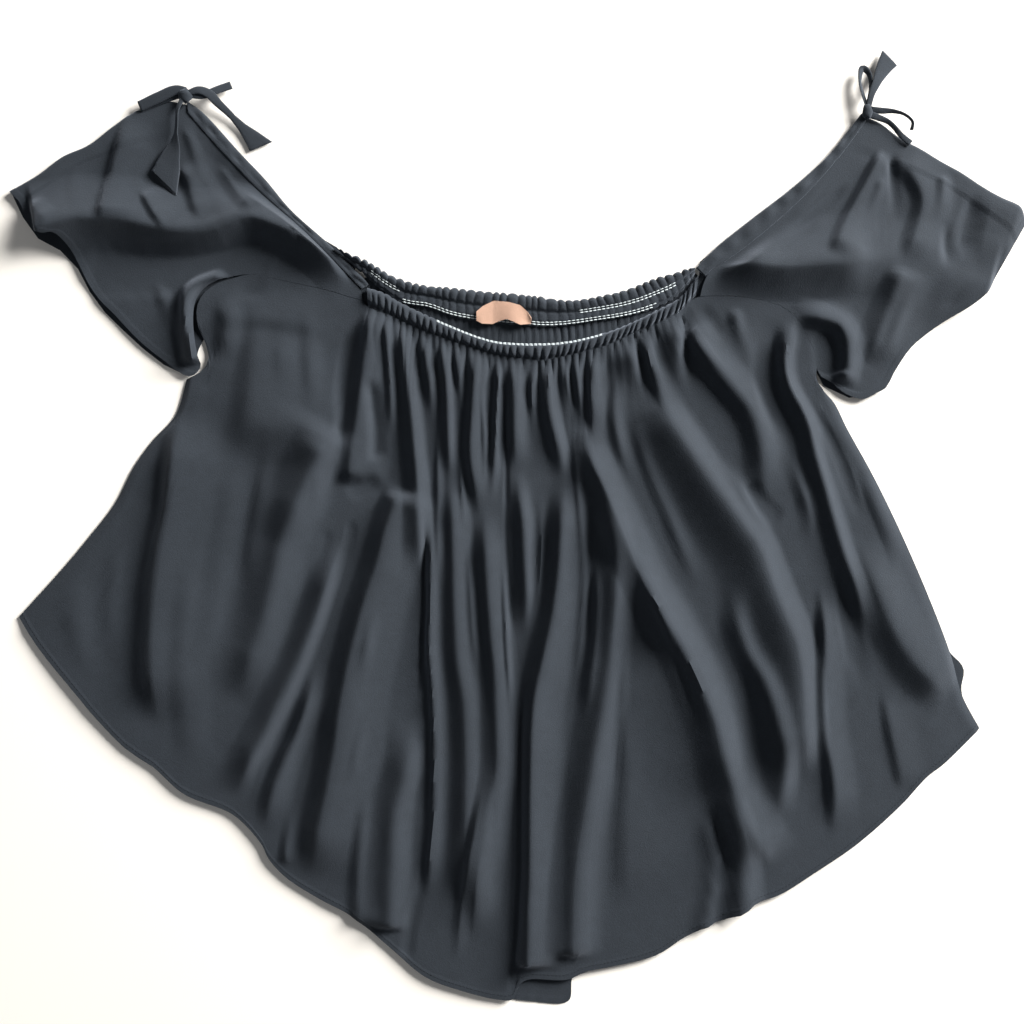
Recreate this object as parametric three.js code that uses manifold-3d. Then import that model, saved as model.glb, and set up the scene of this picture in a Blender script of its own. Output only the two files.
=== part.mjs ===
// An off-shoulder swing top laid flat on a surface: gathered front and back necklines, raglan flutter sleeves,
// shoulder casings with tied bows, a wide body with long loose folds and a dipped hem.
// Millimetres. +X across it to the right as seen from above, +Y towards the shoulders, +Z up from the surface.
import * as THREE from 'three';
import { mergeVertices } from 'three/addons/utils/BufferGeometryUtils.js';
import Module from 'manifold-3d';

const wasm = await Module();
wasm.setup();

// Cloth and clearances.
const CLOTH = 1.2;
const GAP = 0.3;
const BACK_MIDDLE = CLOTH / 2;
const FRONT_LOWEST = CLOTH + GAP + CLOTH / 2;
const FRONT_LOFT = 3.4;
const FOLD_LOFT = 4.2;

// Gathered neck casings and plain shoulder casings.
const GATHER_PITCH = 5.8;
const GATHER_DEPTH = 1.1;
const CASING_HEIGHT = 6.2;
const STRIP_HEIGHT = 3.4;
const UNDER_CASING = CLOTH + GAP;
const GATHER_WAVE = { main: 0.6, uneven: 0.25, unevenRate: 31, sink: 0.15 };

// Ties.
const TIE_THICKNESS = 2.2;
const KNOT_SIZE = [15, 14, 8];
const KNOT_FACETS = [8, 6];

const CLOTH_COLOUR = 0x2b3138;
const LABEL_COLOUR = 0xc9a487;

// The front raglan seams, from the underarm to the neck casing on the left and back down on the right.
const SEAM_LEFT = [[-213, 202.8], [-185, 197.4], [-150, 189.6], [-131, 183.8], [-122.5, 181.6]];
const SEAM_RIGHT = [
  [146.6, 184.8], [158, 185.2], [175, 184.8], [200, 181], [214, 175.8], [224.6, 166], [231.4, 155], [238, 141.4],
  [240, 128], [239.2, 120],
];
const BODY_SIDE = [-0.5 * GAP, -1.4 * GAP];
const SLEEVE_SIDE = [0.5 * GAP, 0.4 * GAP];
const moved = (points, [dx, dy]) => points.map(([x, y]) => [x + dx, y + dy]);

// Outlines in plan. The front layer's own edges first, each from the left to the right or from the top down.
const FRONT = {
  left: [
    [-263, 118.6], [-272, 90], [-290, 70], [-305, 49], [-320, 20], [-340, -6], [-360, -30],
    [-397, -71],
  ],
  right: [
    [245, 109.5], [254, 100], [264, 80], [285, 42], [307, -3], [330, -56], [347, -101], [356, -133],
    [370, -160],
  ],
  top: [
    [-263, 118.6], [-254, 123], [-246.8, 130], [-245, 138], [-247.4, 147], [-254, 163], [-254, 178], [-248, 188.5],
    [-239, 195], [-227, 198.8], ...moved(SEAM_LEFT, BODY_SIDE), [-118.5, 176.6], [-100, 169],
    [-85, 162], [-70, 156], [-55, 150], [-42, 146], [-28, 141.6], [-14, 137.6], [0, 135.6], [20, 133.8], [38, 137],
    [55, 140.8], [75, 146.6], [90, 153.6], [110, 161.6], [125, 168.6], [134, 175.6], [140, 181.6],
    ...moved(SEAM_RIGHT, BODY_SIDE), [245, 109.5],
  ],
  hem: [
    [-397, -71], [-380, -97], [-353, -130], [-333, -154], [-309, -178], [-290, -190], [-265, -212], [-225, -229],
    [-203, -252], [-197, -264], [-183, -279], [-158, -295], [-130, -310], [-100, -335], [-72, -358], [-40, -370],
    [-15, -376], [-3, -376], [3, -364], [10, -360], [41, -360], [55, -354], [75, -350], [113, -340], [133, -327],
    [149, -319], [157, -315], [180, -306], [190, -299], [210, -292.5], [240, -274], [272, -252], [308, -220],
    [328, -198], [340, -189], [370, -160],
  ],
};

// The back panel's edges. It shows past the front at three places on the hem and inside the neckline.
const BACK = {
  left: [
    [-262, 117.5], [-270, 90], [-288, 69], [-303, 48], [-318, 19], [-338, -7], [-358, -31],
    [-394, -72],
  ],
  right: [
    [244, 108], [252, 99], [262, 79], [283, 41], [305, -4], [328, -57], [346, -98], [358, -112],
    [356, -130], [367, -160],
  ],
  top: [
    [-262, 117.5], [-246, 129], [-243, 140], [-232, 160], [-190, 182], [-150, 188], [-127, 193.4], [-121.5, 199],
    [-115, 202], [-104, 194], [-90, 186], [-70, 182], [-50, 175], [-30, 171.6], [0, 168.6], [25, 167], [45, 168.6],
    [65, 171.6], [85, 174.6], [100, 178], [114, 183], [126, 191], [136, 199], [142, 204], [149, 198], [160, 189],
    [178, 181], [205, 171], [222, 158], [233, 140], [239, 122], [244, 108],
  ],
  hem: [
    [-394, -72], [-377, -97], [-350, -129], [-307, -175], [-263, -209], [-222, -226], [-200, -250], [-180, -275],
    [-128, -306], [-98, -331], [-70, -355], [-38, -367], [-10, -375], [10, -378], [42, -378], [46, -358],
    [75, -347], [113, -337], [133, -324], [152, -317], [172, -311], [184, -303], [190, -296], [210, -289],
    [240, -271], [272, -249], [306, -218], [326, -196], [340, -186], [367, -160],
  ],
};

// The sleeves' edges. Rows of a sleeve run from its hem to its neck edge.
const SLEEVE_LEFT = {
  hem: [
    [-256.5, 122.3], [-262, 121], [-280, 133], [-300, 149], [-320, 170], [-332, 182], [-340, 193], [-350, 213],
    [-357, 226], [-365, 233.5], [-374, 233], [-382, 236], [-390, 245], [-396, 260], [-403, 267],
  ],
  neck: [
    [-122.3, 181.7], [-124.6, 191], [-132, 198.6], [-149, 217.6], [-170, 239], [-200, 266],
    [-232, 299], [-261, 331],
  ],
  backHem: [
    [-403, 267], [-399, 256], [-391, 244], [-378, 227], [-371, 223], [-362, 221], [-352, 210], [-342, 191],
    [-331, 175], [-317, 161], [-300, 145], [-285, 133], [-272, 124.6], [-263, 121.6],
  ],
  frontRows: [
    {
      path: [
        [-256.5, 122.3], [-251.5, 128], [-253.5, 139], [-256, 152], [-257.5, 165], [-256.5, 179], [-250, 190.5],
        [-240, 197.2], [-228, 200.8], ...moved(SEAM_LEFT, SLEEVE_SIDE),
      ],
      rows: 5,
    },
    {
      path: [
        [-340, 193], [-300, 206], [-260, 210], [-225, 220], [-195, 229], [-160, 215], [-126, 196.6],
      ],
      rows: 3,
    },
    {
      path: [
        [-366, 238], [-340, 245], [-310, 243], [-270, 235], [-240, 236], [-210, 246], [-190, 240], [-165, 229],
        [-148, 215], [-133, 202],
      ],
      rows: 4,
    },
    { path: [[-384, 237], [-352, 266], [-312, 285], [-272, 283], [-232, 268], [-195, 261.4]], rows: 4 },
    {
      path: [
        [-403, 267], [-380, 279], [-360, 294], [-340, 303], [-320, 318], [-300, 330], [-280, 334],
        [-261, 331],
      ],
      rows: 0,
    },
  ],
  backSeam: [[-263, 121.6], [-256, 130], [-254, 142], [-240, 163], [-192, 185], [-150, 191], [-129, 196]],
  backNeck: [
    [-129, 196], [-124, 201.6], [-135, 211.6], [-150, 226.6], [-180, 253.6], [-200, 277.6],
    [-220, 298.6], [-248, 326], [-261, 331.6],
  ],
  outward: [-0.5, 0.87],
};
const SLEEVE_RIGHT = {
  hem: [
    [243.4, 120.6], [250, 117], [263, 107], [277, 103], [288, 108], [295, 112], [302, 125], [314, 143], [329, 156],
    [342, 165], [362, 177], [374, 187], [382, 200], [391, 217], [405, 241],
  ],
  neck: [
    [146.8, 184.9], [150, 196], [156, 206.6], [168, 214], [196, 235], [232, 268], [259, 299],
    [274, 318],
  ],
  backHem: [
    [405, 241], [390, 218], [381, 201], [373, 188], [361, 178], [341, 166], [328, 157], [313, 144], [301, 126],
    [294, 111], [287, 107], [277, 102], [262, 106], [254, 111.6], [246, 113.6],
  ],
  frontRows: [
    {
      path: [[243.4, 120.6], ...moved(SEAM_RIGHT.slice(0, -1), SLEEVE_SIDE).reverse()],
      rows: 3,
    },
    {
      path: [
        [263, 107], [256, 130], [254, 150], [244, 163], [226, 175], [205, 186], [175, 195], [150, 196],
      ],
      rows: 3,
    },
    {
      path: [
        [295, 112], [276, 140], [268, 158], [256, 174], [235, 188], [210, 197], [180, 203], [153, 203],
      ],
      rows: 3,
    },
    {
      path: [
        [362, 177], [340, 200], [310, 213], [280, 212], [255, 209], [235, 207], [200, 209], [168, 214],
      ],
      rows: 4,
    },
    { path: [[382, 200], [356, 234], [324, 254], [294, 262], [262, 264], [228, 264]], rows: 4 },
    {
      path: [
        [405, 241], [400, 251], [385, 260], [355, 281], [335, 292], [318, 302], [300, 309], [286, 317],
        [274, 318],
      ],
      rows: 0,
    },
  ],
  backSeam: [
    [246, 113.6], [238, 130], [234, 147], [224, 162.4], [207, 174], [180, 183.4], [163, 190.4],
    [152, 200],
  ],
  backNeck: [
    [152, 200], [146.4, 208.6], [160, 223.8], [190, 247.8], [220, 270.8], [250, 297.8], [266, 314],
    [274, 318.4],
  ],
  outward: [0.5, 0.87],
};

// Lines from the top edge of the front to its hem. The cloth's main folds run along them.
const FRONT_LINES = [
  { path: FRONT.left, columns: 3 },
  {
    path: [
      [-246.8, 130], [-250, 112], [-259, 88], [-280, 0], [-290, -80], [-288, -150], [-290, -190],
    ],
    columns: 2,
  },
  {
    path: [
      [-254, 178], [-238, 163], [-230, 140], [-232, 112], [-240, 74], [-248, 30], [-258, -40],
      [-262, -120], [-262, -213],
    ],
    columns: 2,
  },
  {
    path: [
      [-213, 201], [-206, 150], [-206, 100], [-212, 50], [-223, 0], [-236, -80], [-240, -150],
      [-232, -227],
    ],
    columns: 3,
  },
  {
    path: [
      [-160, 190.4], [-170, 140], [-166, 90], [-166, 50], [-182, -15], [-196, -75], [-215, -125],
      [-222, -180], [-212, -240],
    ],
    columns: 3,
  },
  {
    path: [
      [-121, 177.8], [-131, 120], [-141, 80], [-139, 20], [-142, -10], [-152, -45], [-165, -85],
      [-185, -135], [-205, -190], [-201, -256],
    ],
    columns: 2,
  },
  {
    path: [
      [-116, 175.4], [-124, 120], [-132, 60], [-131, 20], [-135, -20], [-146, -60], [-158, -105],
      [-174, -160], [-192, -215], [-193, -269],
    ],
    columns: 6,
  },
  {
    path: [
      [-93, 165.6], [-90, 120], [-90, 60], [-97, 10], [-110, -35], [-122, -80], [-136, -130],
      [-142, -180], [-153, -235], [-160, -294],
    ],
    columns: 5,
  },
  {
    path: [
      [-75, 158], [-80, 120], [-78, 60], [-75, 0], [-77, -60], [-82, -130], [-90, -200], [-98, -260],
      [-103, -333],
    ],
    columns: 5,
  },
  {
    path: [
      [-55, 150], [-54, 120], [-53, 60], [-50, 0], [-48, -60], [-44, -120], [-41, -200], [-44, -280],
      [-52, -366],
    ],
    columns: 5,
  },
  {
    path: [
      [-28, 141.6], [-27, 100], [-25, 50], [-23, 0], [-20, -80], [-15, -150], [-21, -220], [-31, -290],
      [-33, -372],
    ],
    columns: 5,
  },
  {
    path: [
      [0, 135.6], [-1, 100], [1, 50], [4, 0], [4, -60], [2, -110], [-1, -160], [-1, -230], [-2, -300],
      [-2, -374],
    ],
    columns: 4,
  },
  {
    path: [
      [28, 134.6], [30, 100], [37, 50], [37, 0], [31, -60], [21, -110], [14, -180], [12, -260],
      [9, -330], [14, -360],
    ],
    columns: 5,
  },
  {
    path: [
      [50, 139.6], [51, 110], [54, 60], [65, 30], [76, -10], [77, -60], [71, -130], [60, -200],
      [48, -270], [46, -358],
    ],
    columns: 6,
  },
  {
    path: [
      [62, 142.6], [60, 110], [64, 64], [75, 28], [99, -38], [130, -92], [153, -145], [160, -180],
      [173, -225], [196, -297],
    ],
    columns: 6,
  },
  {
    path: [
      [100, 157.6], [109, 120], [119, 92], [142, 55], [165, 20], [190, -15], [209, -65], [222, -100],
      [230, -180], [246, -271],
    ],
    columns: 4,
  },
  {
    path: [
      [130, 172.6], [136, 157], [153, 132], [174, 110], [188, 92], [197, 68], [204, 40], [222, -10],
      [242, -60], [258, -140], [286, -241],
    ],
    columns: 4,
  },
  {
    path: [
      [175, 183.6], [197, 160], [206, 130], [212, 100], [224, 70], [234, 40], [249, 0], [266, -40],
      [290, -110], [318, -209],
    ],
    columns: 2,
  },
  {
    path: [
      [220, 168.8], [214, 150], [214, 130], [219, 110], [228, 92], [240, 60], [256, 20], [276, -30],
      [302, -90], [343, -187],
    ],
    columns: 3,
  },
  {
    path: [
      [239.8, 124], [239.5, 110], [246, 92], [257, 68], [280, 22], [300, -30], [325, -90], [343, -135],
      [358, -171],
    ],
    columns: 1,
  },
  { path: FRONT.right, columns: 0 },
];
const FRONT_ROWS = 16;
const BACK_LINES = [
  { path: BACK.left, columns: 2 },
  { path: [[-190, 182], [-215, 0], [-250, -213]], columns: 3 },
  { path: [[-104, 193], [-125, 0], [-150, -293]], columns: 4 },
  { path: [[-30, 171.6], [-32, 0], [-38, -367]], columns: 3 },
  { path: [[35, 167.6], [44, -100], [42, -378]], columns: 1 },
  { path: [[45, 168.6], [52, -100], [46, -358]], columns: 4 },
  { path: [[126, 190], [150, 0], [184, -303]], columns: 3 },
  { path: [[205, 171], [250, 0], [306, -218]], columns: 2 },
  { path: [[233, 140], [234, 112], [252, 70], [286, 0], [330, -100], [352, -174]], columns: 1 },
  { path: BACK.right, columns: 0 },
];
const BACK_ROWS = 8;
const SLEEVE_STATIONS = 17;
const SLEEVE_BACK_ROWS = 2;
const TURN_STEPS = 3;
const TURN_LOFT_ROWS = 2;

// The folds. Each follows its path, rises (or sinks) by rise, and falls away over a flank on each side, as seen by
// someone who walks from its first point to its last. It fades in over the length start and out over end, and
// its flanks grow by the factor spread on the way. Gathers start at the neck casing with no fade.
const LONG_FOLDS = [
  {
    path: [
      [-262, 102], [-272, 60], [-276, 20], [-284, -20], [-289, -60], [-291, -100], [-286, -160],
    ],
    rise: 7, right: 14, left: 58,
  },
  {
    path: [
      [-166, 52], [-175, 15], [-183, -15], [-189, -45], [-196, -75], [-207, -100], [-217, -124],
    ],
    rise: 6, right: 14, left: 11,
  },
  {
    path: [
      [-139, -5], [-150, -45], [-162, -80], [-173, -107], [-186, -135], [-198, -160], [-212, -185],
      [-228, -216],
    ],
    rise: 8, right: 15, left: 8,
  },
  {
    path: [
      [-158, -105], [-165, -140], [-175, -162], [-186, -186], [-194, -212], [-199, -246],
    ],
    rise: 6, right: 9, left: 13,
  },
  {
    path: [
      [-90, 34], [-101, 2], [-110, -30], [-120, -60], [-129, -95], [-137, -130], [-142, -170],
      [-148, -205], [-156, -240], [-162, -284],
    ],
    rise: 8, right: 15, left: 15,
  },
  {
    path: [
      [-82, -150], [-87, -190], [-95, -225], [-98, -270], [-101, -322],
    ],
    rise: 6, right: 19, left: 11, end: 8,
  },
  {
    path: [
      [-67, 20], [-68, -60], [-69, -100], [-66, -140], [-65, -200], [-70, -300],
    ],
    rise: 4, right: 4, left: 11,
  },
  {
    path: [
      [-53, 50], [-50, 0], [-49, -40], [-47, -80], [-45, -110], [-40, -150], [-40, -230], [-43, -300],
    ],
    rise: 5, right: 9, left: 11,
  },
  {
    path: [
      [-24, 20], [-23, -40], [-20, -80], [-16, -120], [-15, -160], [-15, -190], [-23, -230],
      [-30, -275], [-34, -330],
    ],
    rise: 6, right: 11, left: 13,
  },
  { path: [[1, 50], [6, 0], [8, -40], [8, -92]], rise: 5, right: 7, left: 9 },
  {
    path: [
      [38, 45], [36, 0], [33, -40], [28, -75], [21, -105], [14, -140], [12, -200], [11, -260],
      [9, -352],
    ],
    rise: 9, right: 8, left: 20, end: 6,
  },
  {
    path: [
      [66, 34], [77, -10], [78, -50], [75, -90], [71, -130], [64, -170], [57, -215], [50, -260],
      [45, -345],
    ],
    rise: 7, right: 15, left: 17, end: 10,
  },
  {
    path: [
      [54, 90], [58, 58], [72, 26], [85, -5], [99, -38], [115, -65], [130, -92], [142, -118],
      [153, -145], [160, -175], [166, -205], [190, -255],
    ],
    rise: 8, right: 15, left: 10,
  },
  {
    path: [
      [110, 118], [118, 92], [131, 71], [153, 38], [177, 4], [190, -15], [199, -40], [209, -65],
      [220, -92], [225, -130], [228, -205],
    ],
    rise: 9, right: 30, left: 14,
  },
  {
    path: [
      [136, 160], [153, 132], [172, 110], [186, 92], [194, 68], [196, 45], [203, 20],
    ],
    rise: 6, right: 11, left: 20, start: 8,
  },
  {
    path: [
      [214, 156], [212, 130], [217, 112], [225, 97], [232, 80], [237, 58], [244, 35], [254, 0],
      [261, -25], [274, -65], [282, -100],
    ],
    rise: 8, right: 11, left: 10, start: 8,
  },
  { path: [[243, -30], [243, -70], [246, -95], [249, -130], [252, -200]], rise: 5, right: 8, left: 9 },
  { path: [[274, -25], [285, -60], [293, -85], [301, -115]], rise: 5, right: 11, left: 22 },
  { path: [[280, -115], [286, -150], [291, -175], [298, -215]], rise: 4, right: 12, left: 13, end: 10 },
  {
    path: [
      [174, -40], [177, -75], [183, -98], [195, -122], [202, -150], [203, -200], [207, -250],
    ],
    rise: 6, right: 13, left: 9,
  },
  { path: [[143, -235], [151, -262], [151, -290], [147, -316]], rise: 6, right: 13, left: 5, end: 6 },
  { path: [[-245, 92], [-190, 94], [-140, 92]], rise: 2.5, right: 13, left: 50 },
  { path: [[-203, 190], [-206, 165], [-203, 130], [-203, 92]], rise: 4, right: 10, left: 20 },
  { path: [[-262, 116], [-226, 117]], rise: -4, right: 9, left: 8 },
  { path: [[203, 172], [201, 150], [202, 120], [208, 92], [222, 66]], rise: -6, right: 13, left: 10 },
];

// The ridges that leave the front neck casing, with where each one has gone by the end.
const GATHERS = [
  { path: [[-116, 176], [-124, 120], [-131, 75], [-134, 36]], rise: 7, right: 13, left: 8 },
  { path: [[-104, 170], [-100, 120], [-98, 66]], rise: 4, right: 5, left: 5 },
  {
    path: [
      [-92, 165], [-86, 120], [-79, 60], [-76, 0], [-77, -60], [-81, -120], [-84, -165],
    ],
    rise: 7, right: 14, left: 5,
  },
  { path: [[-76, 158], [-70, 120], [-67, 84]], rise: 4, right: 6, left: 5 },
  { path: [[-60, 152], [-56, 120], [-53, 60], [-52, 30]], rise: 5, right: 7, left: 6 },
  { path: [[-48, 148], [-45, 120], [-44, 92]], rise: 4, right: 5, left: 4 },
  { path: [[-35, 144], [-33, 120], [-36, 60], [-27, 5]], rise: 6, right: 6, left: 10 },
  { path: [[-16, 138], [-14.5, 120], [-17, 60], [-19, 20]], rise: 5, right: 6, left: 5 },
  { path: [[-2, 136], [-1, 100], [0, 40]], rise: 5, right: 6, left: 9 },
  { path: [[13, 134], [13.5, 100], [14, 72]], rise: 4, right: 4, left: 5 },
  { path: [[25, 134], [27, 100], [36, 52], [38, 30]], rise: 6, right: 7, left: 8 },
  { path: [[47, 139], [50, 110], [53, 78]], rise: 6, right: 10, left: 5 },
  { path: [[61, 142], [60, 110], [63, 64]], rise: 5, right: 5, left: 9 },
  { path: [[90, 153], [96, 122], [98, 104]], rise: 4, right: 9, left: 4 },
  { path: [[101, 158], [104, 140], [112, 114], [121, 88]], rise: 6, right: 6, left: 9 },
  { path: [[127, 170], [129, 135], [134, 108]], rise: 6, right: 11, left: 6 },
];

// Sleeve folds: the big crest and the deep valley under it on each side, the rims at the underarms, the creases.
const SLEEVE_FOLDS = [
  {
    path: [
      [-372, 240], [-340, 245], [-310, 243], [-270, 236], [-240, 237], [-210, 246], [-190, 240],
      [-165, 228], [-148, 213], [-128, 190],
    ],
    rise: 10, right: 27, left: 34, start: 10, end: 50, spread: 0.7,
  },
  {
    path: [
      [-345, 200], [-300, 207], [-262, 209], [-232, 216], [-205, 226], [-182, 228],
    ],
    rise: -4, right: 13, left: 14, start: 12,
  },
  {
    path: [[-254, 130], [-257, 145], [-261, 162], [-261, 180], [-254, 192], [-242, 199], [-226, 202]],
    rise: 8, right: 5, left: 14, start: 6, end: 14, spread: 1,
  },
  { path: [[-311, 325], [-322, 298], [-328, 270], [-331, 247]], rise: -3, right: 9, left: 8, start: 6 },
  { path: [[-298, 270], [-288, 253], [-276, 237]], rise: -3, right: 7, left: 8 },
  { path: [[-266, 290], [-258, 266], [-251, 242]], rise: -3, right: 8, left: 8 },
  { path: [[-250, 305], [-230, 284], [-213, 256], [-203, 244]], rise: -4, right: 17, left: 14 },
  {
    path: [[150, 206], [180, 208], [215, 206], [255, 208], [290, 214], [320, 210], [350, 198], [374, 190]],
    rise: 11, right: 19, left: 34, start: 8, end: 8,
  },
  { path: [[172, 196], [200, 190], [235, 184], [265, 180]], rise: -5, right: 13, left: 14, start: 10 },
  {
    path: [
      [222, 172], [240, 166], [256, 166], [264, 158], [270, 144], [276, 128],
    ],
    rise: 9, right: 8, left: 10, start: 8, end: 10, spread: 1,
  },
  { path: [[308, 206], [292, 180], [279, 155], [272, 134]], rise: -4, right: 8, left: 8 },
  { path: [[247, 152], [249, 136], [251, 121]], rise: -5, right: 9, left: 10, start: 6, end: 4 },
  { path: [[262, 272], [240, 253], [205, 227]], rise: -3, right: 7, left: 9 },
  { path: [[290, 300], [277, 272], [262, 248], [246, 214]], rise: -3.5, right: 7, left: 8 },
  { path: [[297, 290], [301, 262], [299, 244]], rise: -3, right: 7, left: 7 },
  { path: [[306, 296], [325, 268], [324, 245], [313, 214]], rise: -3.5, right: 8, left: 8 },
  { path: [[360, 262], [346, 232], [344, 204]], rise: -4, right: 8, left: 14 },
];
const FADE_IN = 24;
const FADE_OUT = 36;
const SPREAD = 1.25;
const SETTLE = 0.9;
const GATHER_FADES = { start: 1, end: 30 };

// The two gathered casings: their upper and lower edges in plan, and the shape across.
const CASING_FRONT = {
  upper: [
    [-118.6, 190.6], [-105, 186], [-92, 178.6], [-65, 165.6], [-45, 157], [-20, 148.4], [0, 146],
    [28, 146], [50, 149], [75, 156], [90, 162], [115, 174], [130, 182.4], [145, 200.4],
  ],
  lower: [
    [-118, 178.4], [-100, 170.6], [-85, 163.6], [-60, 153.6], [-30, 144], [-14, 139.2], [0, 137.2],
    [20, 135.4], [38, 138.6], [55, 142.4], [75, 148.4], [90, 155.4], [110, 163.4], [125, 170.4],
    [133.6, 177.4], [143.4, 187.6],
  ],
  across: [[0.06, 0.62], [0.3, 0.98], [0.64, 0.9], [0.94, 0.5], [0.9, 0.04], [0.1, 0.04]],
};
const CASING_BACK = {
  upper: [
    [-143.6, 223.2], [-130, 216.6], [-117, 211], [-100, 201], [-80, 194], [-50, 190.6], [-20, 187.4],
    [10, 185], [40, 181], [60, 183], [90, 190], [110, 198], [130, 203.6], [142, 207.6],
  ],
  lower: [
    [-141.2, 221.2], [-130, 210], [-117.2, 199.4], [-105, 188.8], [-91, 180.4], [-70, 176.6],
    [-50, 169.4], [-30, 165.8], [0, 162.8], [25, 161.2], [45, 162.8], [65, 165.8], [85, 168.8],
    [100, 172.4], [114, 177.4], [127, 184.6], [136, 193.6], [142.6, 202.6],
  ],
  across: [[0.04, 0.5], [0.22, 1], [0.42, 0.84], [0.54, 0.5], [0.95, 0.5], [0.95, 0.06], [0.04, 0.06]],
};

// The plain shoulder casings, from the bow to the front neckline.
const STRIP_LEFT = {
  outer: [
    [-262.5, 341], [-250, 332], [-220, 299.4], [-200, 278.4], [-180, 254.4], [-150, 227.4],
    [-135, 212.4], [-122, 200], [-117.4, 194.6],
  ],
  inner: [
    [-261.6, 332.6], [-232.6, 300.4], [-200.6, 267.4], [-170.6, 240.4], [-148.6, 219.2],
    [-130.4, 200.6], [-121.4, 191.4],
  ],
};
const STRIP_RIGHT = {
  outer: [[271.6, 325], [250, 298.6], [220, 271.6], [190, 248.6], [160, 224.6], [143.6, 208]],
  inner: [
    [274, 319.4], [259, 300.4], [231.4, 269], [195.4, 236.4], [167.6, 215.4], [155.4, 208],
    [149.4, 201.6],
  ],
};
const STRIP_STATIONS = 22;
const STRIP_ACROSS = [[0.04, 0.4], [0.3, 1], [0.7, 1], [0.96, 0.6], [0.96, 0.1], [0.04, 0.1]];

// The ties. Each run has its path with the height of its middle, and its width along the way.
const TIE_LEFT = {
  knot: [-262.5, 345, 8],
  runs: [
    { path: [[-266, 346, 8], [-282, 349, 8], [-299, 338, 7]], width: [7, 9, 10] },
    { path: [[-266, 342, 6], [-284, 340, 6], [-300, 335, 6]], width: [6, 9, 9] },
    { path: [[-258, 346, 8], [-243, 350, 8], [-228, 355, 7.4]], width: [6, 7, 9] },
    { path: [[-259, 342, 8], [-246, 339, 5], [-229, 327, 3], [-204, 307, 2.6]], width: [6, 8, 10, 17] },
    {
      path: [
        [-264, 340, 9], [-270, 328, 8.4], [-270, 308, 8.4], [-275, 292, 8.2], [-280, 274, 8],
      ],
      width: [6, 5, 6, 13, 20],
    },
  ],
};
const TIE_RIGHT = {
  knot: [279.2, 330, 7.2],
  runs: [
    {
      path: [
        [279, 334, 8], [273.5, 350, 7], [275, 364, 5], [281, 363, 5], [283.5, 350, 6],
        [281.6, 335, 6.2],
      ],
      width: [5, 5, 5, 5, 5, 5],
    },
    { path: [[281, 334, 9.6], [287, 346, 10], [290, 357, 9], [297, 374, 4]], width: [5, 7, 9, 16] },
    {
      path: [
        [284, 331, 8], [298, 332, 7], [312, 328, 6.6], [314, 319, 6.6], [304, 317.5, 6.6],
        [292, 323, 7],
      ],
      width: [5, 5, 5, 5, 5, 5],
    },
    { path: [[284, 328, 6.3], [294, 321, 6.3], [304, 311, 6.3], [314, 306, 6.3]], width: [5, 5, 5, 7] },
  ],
};

// The folded label inside the back neck: its edges in plan, and the heights of its lower and upper edge.
const LABEL = {
  left: -31, right: 12, bottom: 162.4, top: 180, tilt: 1.5,
  low: 6.1, high: 8.3, ripple: 0.5, thickness: 0.9, columns: 8, rows: 3,
};

// A smooth curve through points in plan, stepped evenly along its length.
const CURVE_STEPS = 240;
function curveThrough(points) {
  const corners = points.map(([x, y, z = 0]) => new THREE.Vector3(x, y, z));
  const line = new THREE.CatmullRomCurve3(corners, false, 'centripetal');
  line.arcLengthDivisions = 400;
  const steps = line.getSpacedPoints(CURVE_STEPS);
  return {
    steps,
    at(t) {
      const place = Math.min(Math.max(t, 0), 1) * CURVE_STEPS;
      const i = Math.min(Math.floor(place), CURVE_STEPS - 1);
      return steps[i].clone().lerp(steps[i + 1], place - i);
    },
    nearest(point) {
      let best = 0;
      steps.forEach((step, i) => {
        if (step.distanceToSquared(point) < steps[best].distanceToSquared(point)) best = i;
      });
      return best / CURVE_STEPS;
    },
  };
}

// How far a fold lifts the cloth at a point in plan.
const FOLD_STEPS = 28;
function prepareFold(fold) {
  const corners = fold.path.map(([x, y]) => new THREE.Vector3(x, y, 0));
  const line = new THREE.CatmullRomCurve3(corners, false, 'centripetal');
  const reach = Math.max(fold.right, fold.left) * Math.max(1, fold.spread ?? SPREAD);
  const box = new THREE.Box3().setFromPoints(line.getSpacedPoints(FOLD_STEPS)).expandByScalar(reach);
  return { ...fold, steps: line.getSpacedPoints(FOLD_STEPS), length: line.getLength(), box };
}
function ease(t) {
  const s = Math.min(Math.max(t, 0), 1);
  return s * s * (3 - 2 * s);
}
function foldLift(fold, x, y) {
  if (x < fold.box.min.x || x > fold.box.max.x || y < fold.box.min.y || y > fold.box.max.y) return 0;
  let nearest = Infinity;
  let side = 0;
  let place = 0;
  for (let i = 0; i < FOLD_STEPS; i++) {
    const a = fold.steps[i];
    const b = fold.steps[i + 1];
    const [dx, dy] = [b.x - a.x, b.y - a.y];
    const t = Math.min(Math.max(((x - a.x) * dx + (y - a.y) * dy) / (dx * dx + dy * dy), 0), 1);
    const [px, py] = [x - a.x - t * dx, y - a.y - t * dy];
    const distance = Math.hypot(px, py);
    if (distance < nearest) {
      nearest = distance;
      side = dx * py - dy * px;
      place = (i + t) / FOLD_STEPS;
    }
  }
  const flank = (side > 0 ? fold.left : fold.right) * (1 + ((fold.spread ?? SPREAD) - 1) * place);
  const across = nearest / flank;
  if (across >= 1) return 0;
  const start = fold.start ?? FADE_IN;
  const end = fold.end ?? FADE_OUT;
  const along = ease((place * fold.length) / start) * ease(((1 - place) * fold.length) / end);
  return fold.rise * along * (1 - across * across) ** 2;
}
const gathers = GATHERS.map((gather) => ({ ...GATHER_FADES, ...gather }));
const allFolds = [...LONG_FOLDS, ...gathers, ...SLEEVE_FOLDS].map(prepareFold);

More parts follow.
